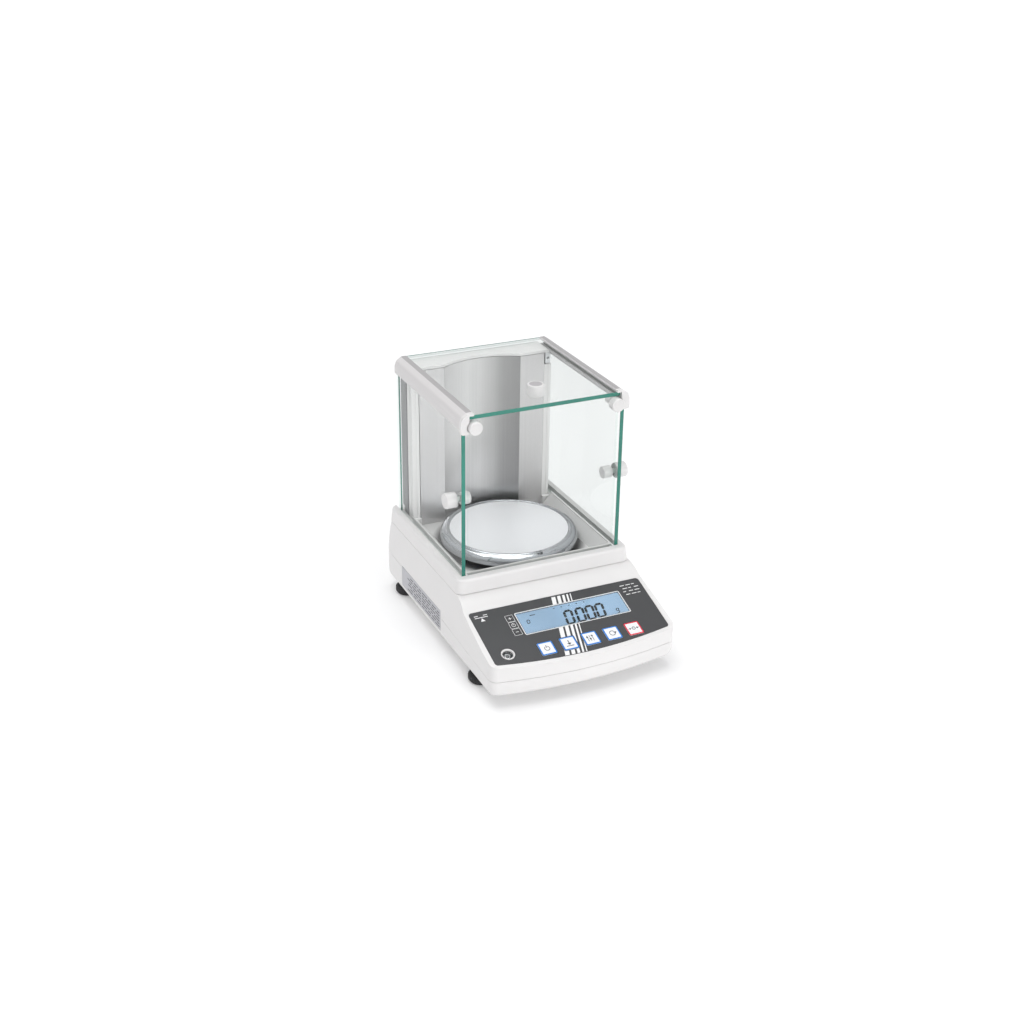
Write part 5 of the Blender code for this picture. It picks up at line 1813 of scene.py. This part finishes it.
class BALANCE_OT_stage(Operator):
    """Sets up the floor, the lights, the surroundings and the camera"""

    bl_idname = "balance.stage"
    bl_label = "Stage"

    def execute(self, context):
        self.camera(context.scene)
        self.floor()
        self.lamps()
        self.surroundings(context.scene)
        context.scene.view_settings.view_transform = "Standard"
        return {"FINISHED"}

    def camera(self, scene):
        data = bpy.data.cameras.new("camera")
        data.lens = CAMERA_LENS
        data.clip_start = 0.05
        camera = bpy.data.objects.new("camera", data)
        scene.collection.objects.link(camera)
        back = Vector(
            (
                math.sin(CAMERA_YAW) * math.cos(CAMERA_PITCH),
                -math.cos(CAMERA_YAW) * math.cos(CAMERA_PITCH),
                math.sin(CAMERA_PITCH),
            )
        )
        turn = back.to_track_quat("Z", "Y").to_matrix().to_4x4()
        place_at = Matrix.Translation(CAMERA_TARGET + back * CAMERA_DISTANCE)
        camera.matrix_world = place_at @ turn @ Matrix.Rotation(CAMERA_ROLL, 4, "Z")
        scene.camera = camera

    def floor(self):
        bm = bmesh.new()
        bmesh.ops.create_circle(bm, cap_ends=True, radius=6.0, segments=96)
        floor = to_object(bm, "floor")
        material, tree, shader = start_material("floor_white")
        place_on = add_node(tree, "ShaderNodeTexCoord").outputs["Object"]
        cloud = add_node(tree, "ShaderNodeTexNoise", {"Vector": place_on, "Scale": 3.0})
        rough = map_range(tree, cloud.outputs["Fac"], 0.0, 1.0, 0.75, 0.85)
        tree.links.new(rough, shader.inputs["Roughness"])
        # The floor glows more the farther it lies from the balance: painted light that whitens the far
        # floor and leaves it darker around the balance.
        away = add_node(tree, "ShaderNodeVectorMath", {0: place_on}, operation="LENGTH")
        glow = map_range(tree, away.outputs["Value"], 0.22, 3.2, 0.17, 0.62)
        tree.links.new(glow, shader.inputs["Emission Strength"])
        shader.inputs["Base Color"].default_value = (0.86, 0.86, 0.86, 1.0)
        shader.inputs["Emission Color"].default_value = (1.0, 1.0, 1.0, 1.0)
        floor.data.materials.append(material)

    def lamps(self):
        for name, energy, size, position, aim in (
            ("overhead", 16.0, 1.4, (-0.2, 0.1, 1.7), (0.0, 0.0, 0.1)),
            ("front", 17.5, 1.2, (0.5, -2.0, 0.35), (0.0, 0.0, 0.10)),
            ("left", 0.5, 1.0, (-1.6, -0.5, 0.8), (0.0, 0.0, 0.12)),
        ):
            data = bpy.data.lights.new(name, "AREA")
            data.shape = "SQUARE"
            data.size = size
            data.energy = energy
            lamp = bpy.data.objects.new(name, data)
            bpy.context.scene.collection.objects.link(lamp)
            aim_at = (Vector(position) - Vector(aim)).to_track_quat("Z", "Y").to_matrix().to_4x4()
            lamp.matrix_world = Matrix.Translation(position) @ aim_at

    def surroundings(self, scene):
        """White to the eye, an even grey for scattered light, and a pale ceiling for reflections."""
        world = bpy.data.worlds.new("surroundings")
        world.use_nodes = True
        tree = world.node_tree
        tree.nodes.clear()
        direction = add_node(tree, "ShaderNodeTexCoord").outputs["Generated"]
        split = add_node(tree, "ShaderNodeSeparateXYZ", {"Vector": direction})
        rise = map_range(tree, split.outputs["Z"], -1.0, 1.0, 0.0, 1.0)
        ramp = add_node(tree, "ShaderNodeValToRGB", {"Fac": rise})
        stops = ramp.color_ramp.elements
        stops[0].position = 0.49
        stops[0].color = (0.20, 0.205, 0.21, 1.0)
        stops[1].position = 0.95
        stops[1].color = (1.0, 1.0, 1.0, 1.0)
        for position, tone in ((0.53, 0.30), (0.60, 0.62), (0.72, 0.80)):
            stop = stops.new(position)
            stop.color = (tone, tone, tone * 1.01, 1.0)
        path = tree.nodes.new("ShaderNodeLightPath")
        scattered = map_range(tree, path.outputs["Diffuse Depth"], 0.4, 0.6, 0.0, 1.0)
        soft = add_node(tree, "ShaderNodeMix", {"Factor": scattered}, data_type="RGBA")
        tree.links.new(ramp.outputs["Color"], soft.inputs["A"])
        soft.inputs["B"].default_value = (0.56, 0.56, 0.57, 1.0)
        room = add_node(tree, "ShaderNodeBackground", {"Color": soft.outputs["Result"], "Strength": 0.95})
        white = add_node(tree, "ShaderNodeBackground", {"Color": (1.0, 1.0, 1.0, 1.0), "Strength": 1.0})
        turns = add_values(tree, path.outputs["Diffuse Depth"], path.outputs["Glossy Depth"])
        mix = tree.nodes.new("ShaderNodeMixShader")
        tree.links.new(map_range(tree, turns, 0.4, 0.6, 1.0, 0.0), mix.inputs["Fac"])
        tree.links.new(room.outputs[0], mix.inputs[1])
        tree.links.new(white.outputs[0], mix.inputs[2])
        output = tree.nodes.new("ShaderNodeOutputWorld")
        tree.links.new(mix.outputs[0], output.inputs["Surface"])
        scene.world = world


class BALANCE_PT_panel(Panel):
    """Lists the sizes, the colours and the building steps"""

    bl_label = "Balance"
    bl_idname = "BALANCE_PT_panel"
    bl_space_type = "VIEW_3D"
    bl_region_type = "UI"
    bl_category = "Balance"

    def draw(self, context):
        for group in (context.scene.balance_sizes, context.scene.balance_colours):
            column = self.layout.column(align=True)
            for name in group.__annotations__:
                column.prop(group, name)
        for operator in OPERATORS:
            self.layout.operator(operator.bl_idname)


OPERATORS = (
    BALANCE_OT_stage,
    BALANCE_OT_housing,
    BALANCE_OT_foil,
    BALANCE_OT_keys,
    BALANCE_OT_display,
    BALANCE_OT_level,
    BALANCE_OT_tray,
    BALANCE_OT_glass,
    BALANCE_OT_rails,
    BALANCE_OT_knobs,
    BALANCE_OT_rear_wall,
    BALANCE_OT_plate,
    BALANCE_OT_feet,
    BALANCE_OT_screws,
    BALANCE_OT_connectors,
    BALANCE_OT_label,
    BALANCE_OT_inner,
)
CLASSES = (BalanceSizes, BalanceColours, *OPERATORS, BALANCE_PT_panel)


def register():
    for cls in CLASSES:
        bpy.utils.register_class(cls)
    bpy.types.Scene.balance_sizes = PointerProperty(type=BalanceSizes)
    bpy.types.Scene.balance_colours = PointerProperty(type=BalanceColours)


def unregister():
    del bpy.types.Scene.balance_colours
    del bpy.types.Scene.balance_sizes
    for cls in reversed(CLASSES):
        bpy.utils.unregister_class(cls)


def main():
    register()
    for operator in OPERATORS:
        group, step = operator.bl_idname.split(".")
        getattr(getattr(bpy.ops, group), step)()


if __name__ == "__main__":
    main()
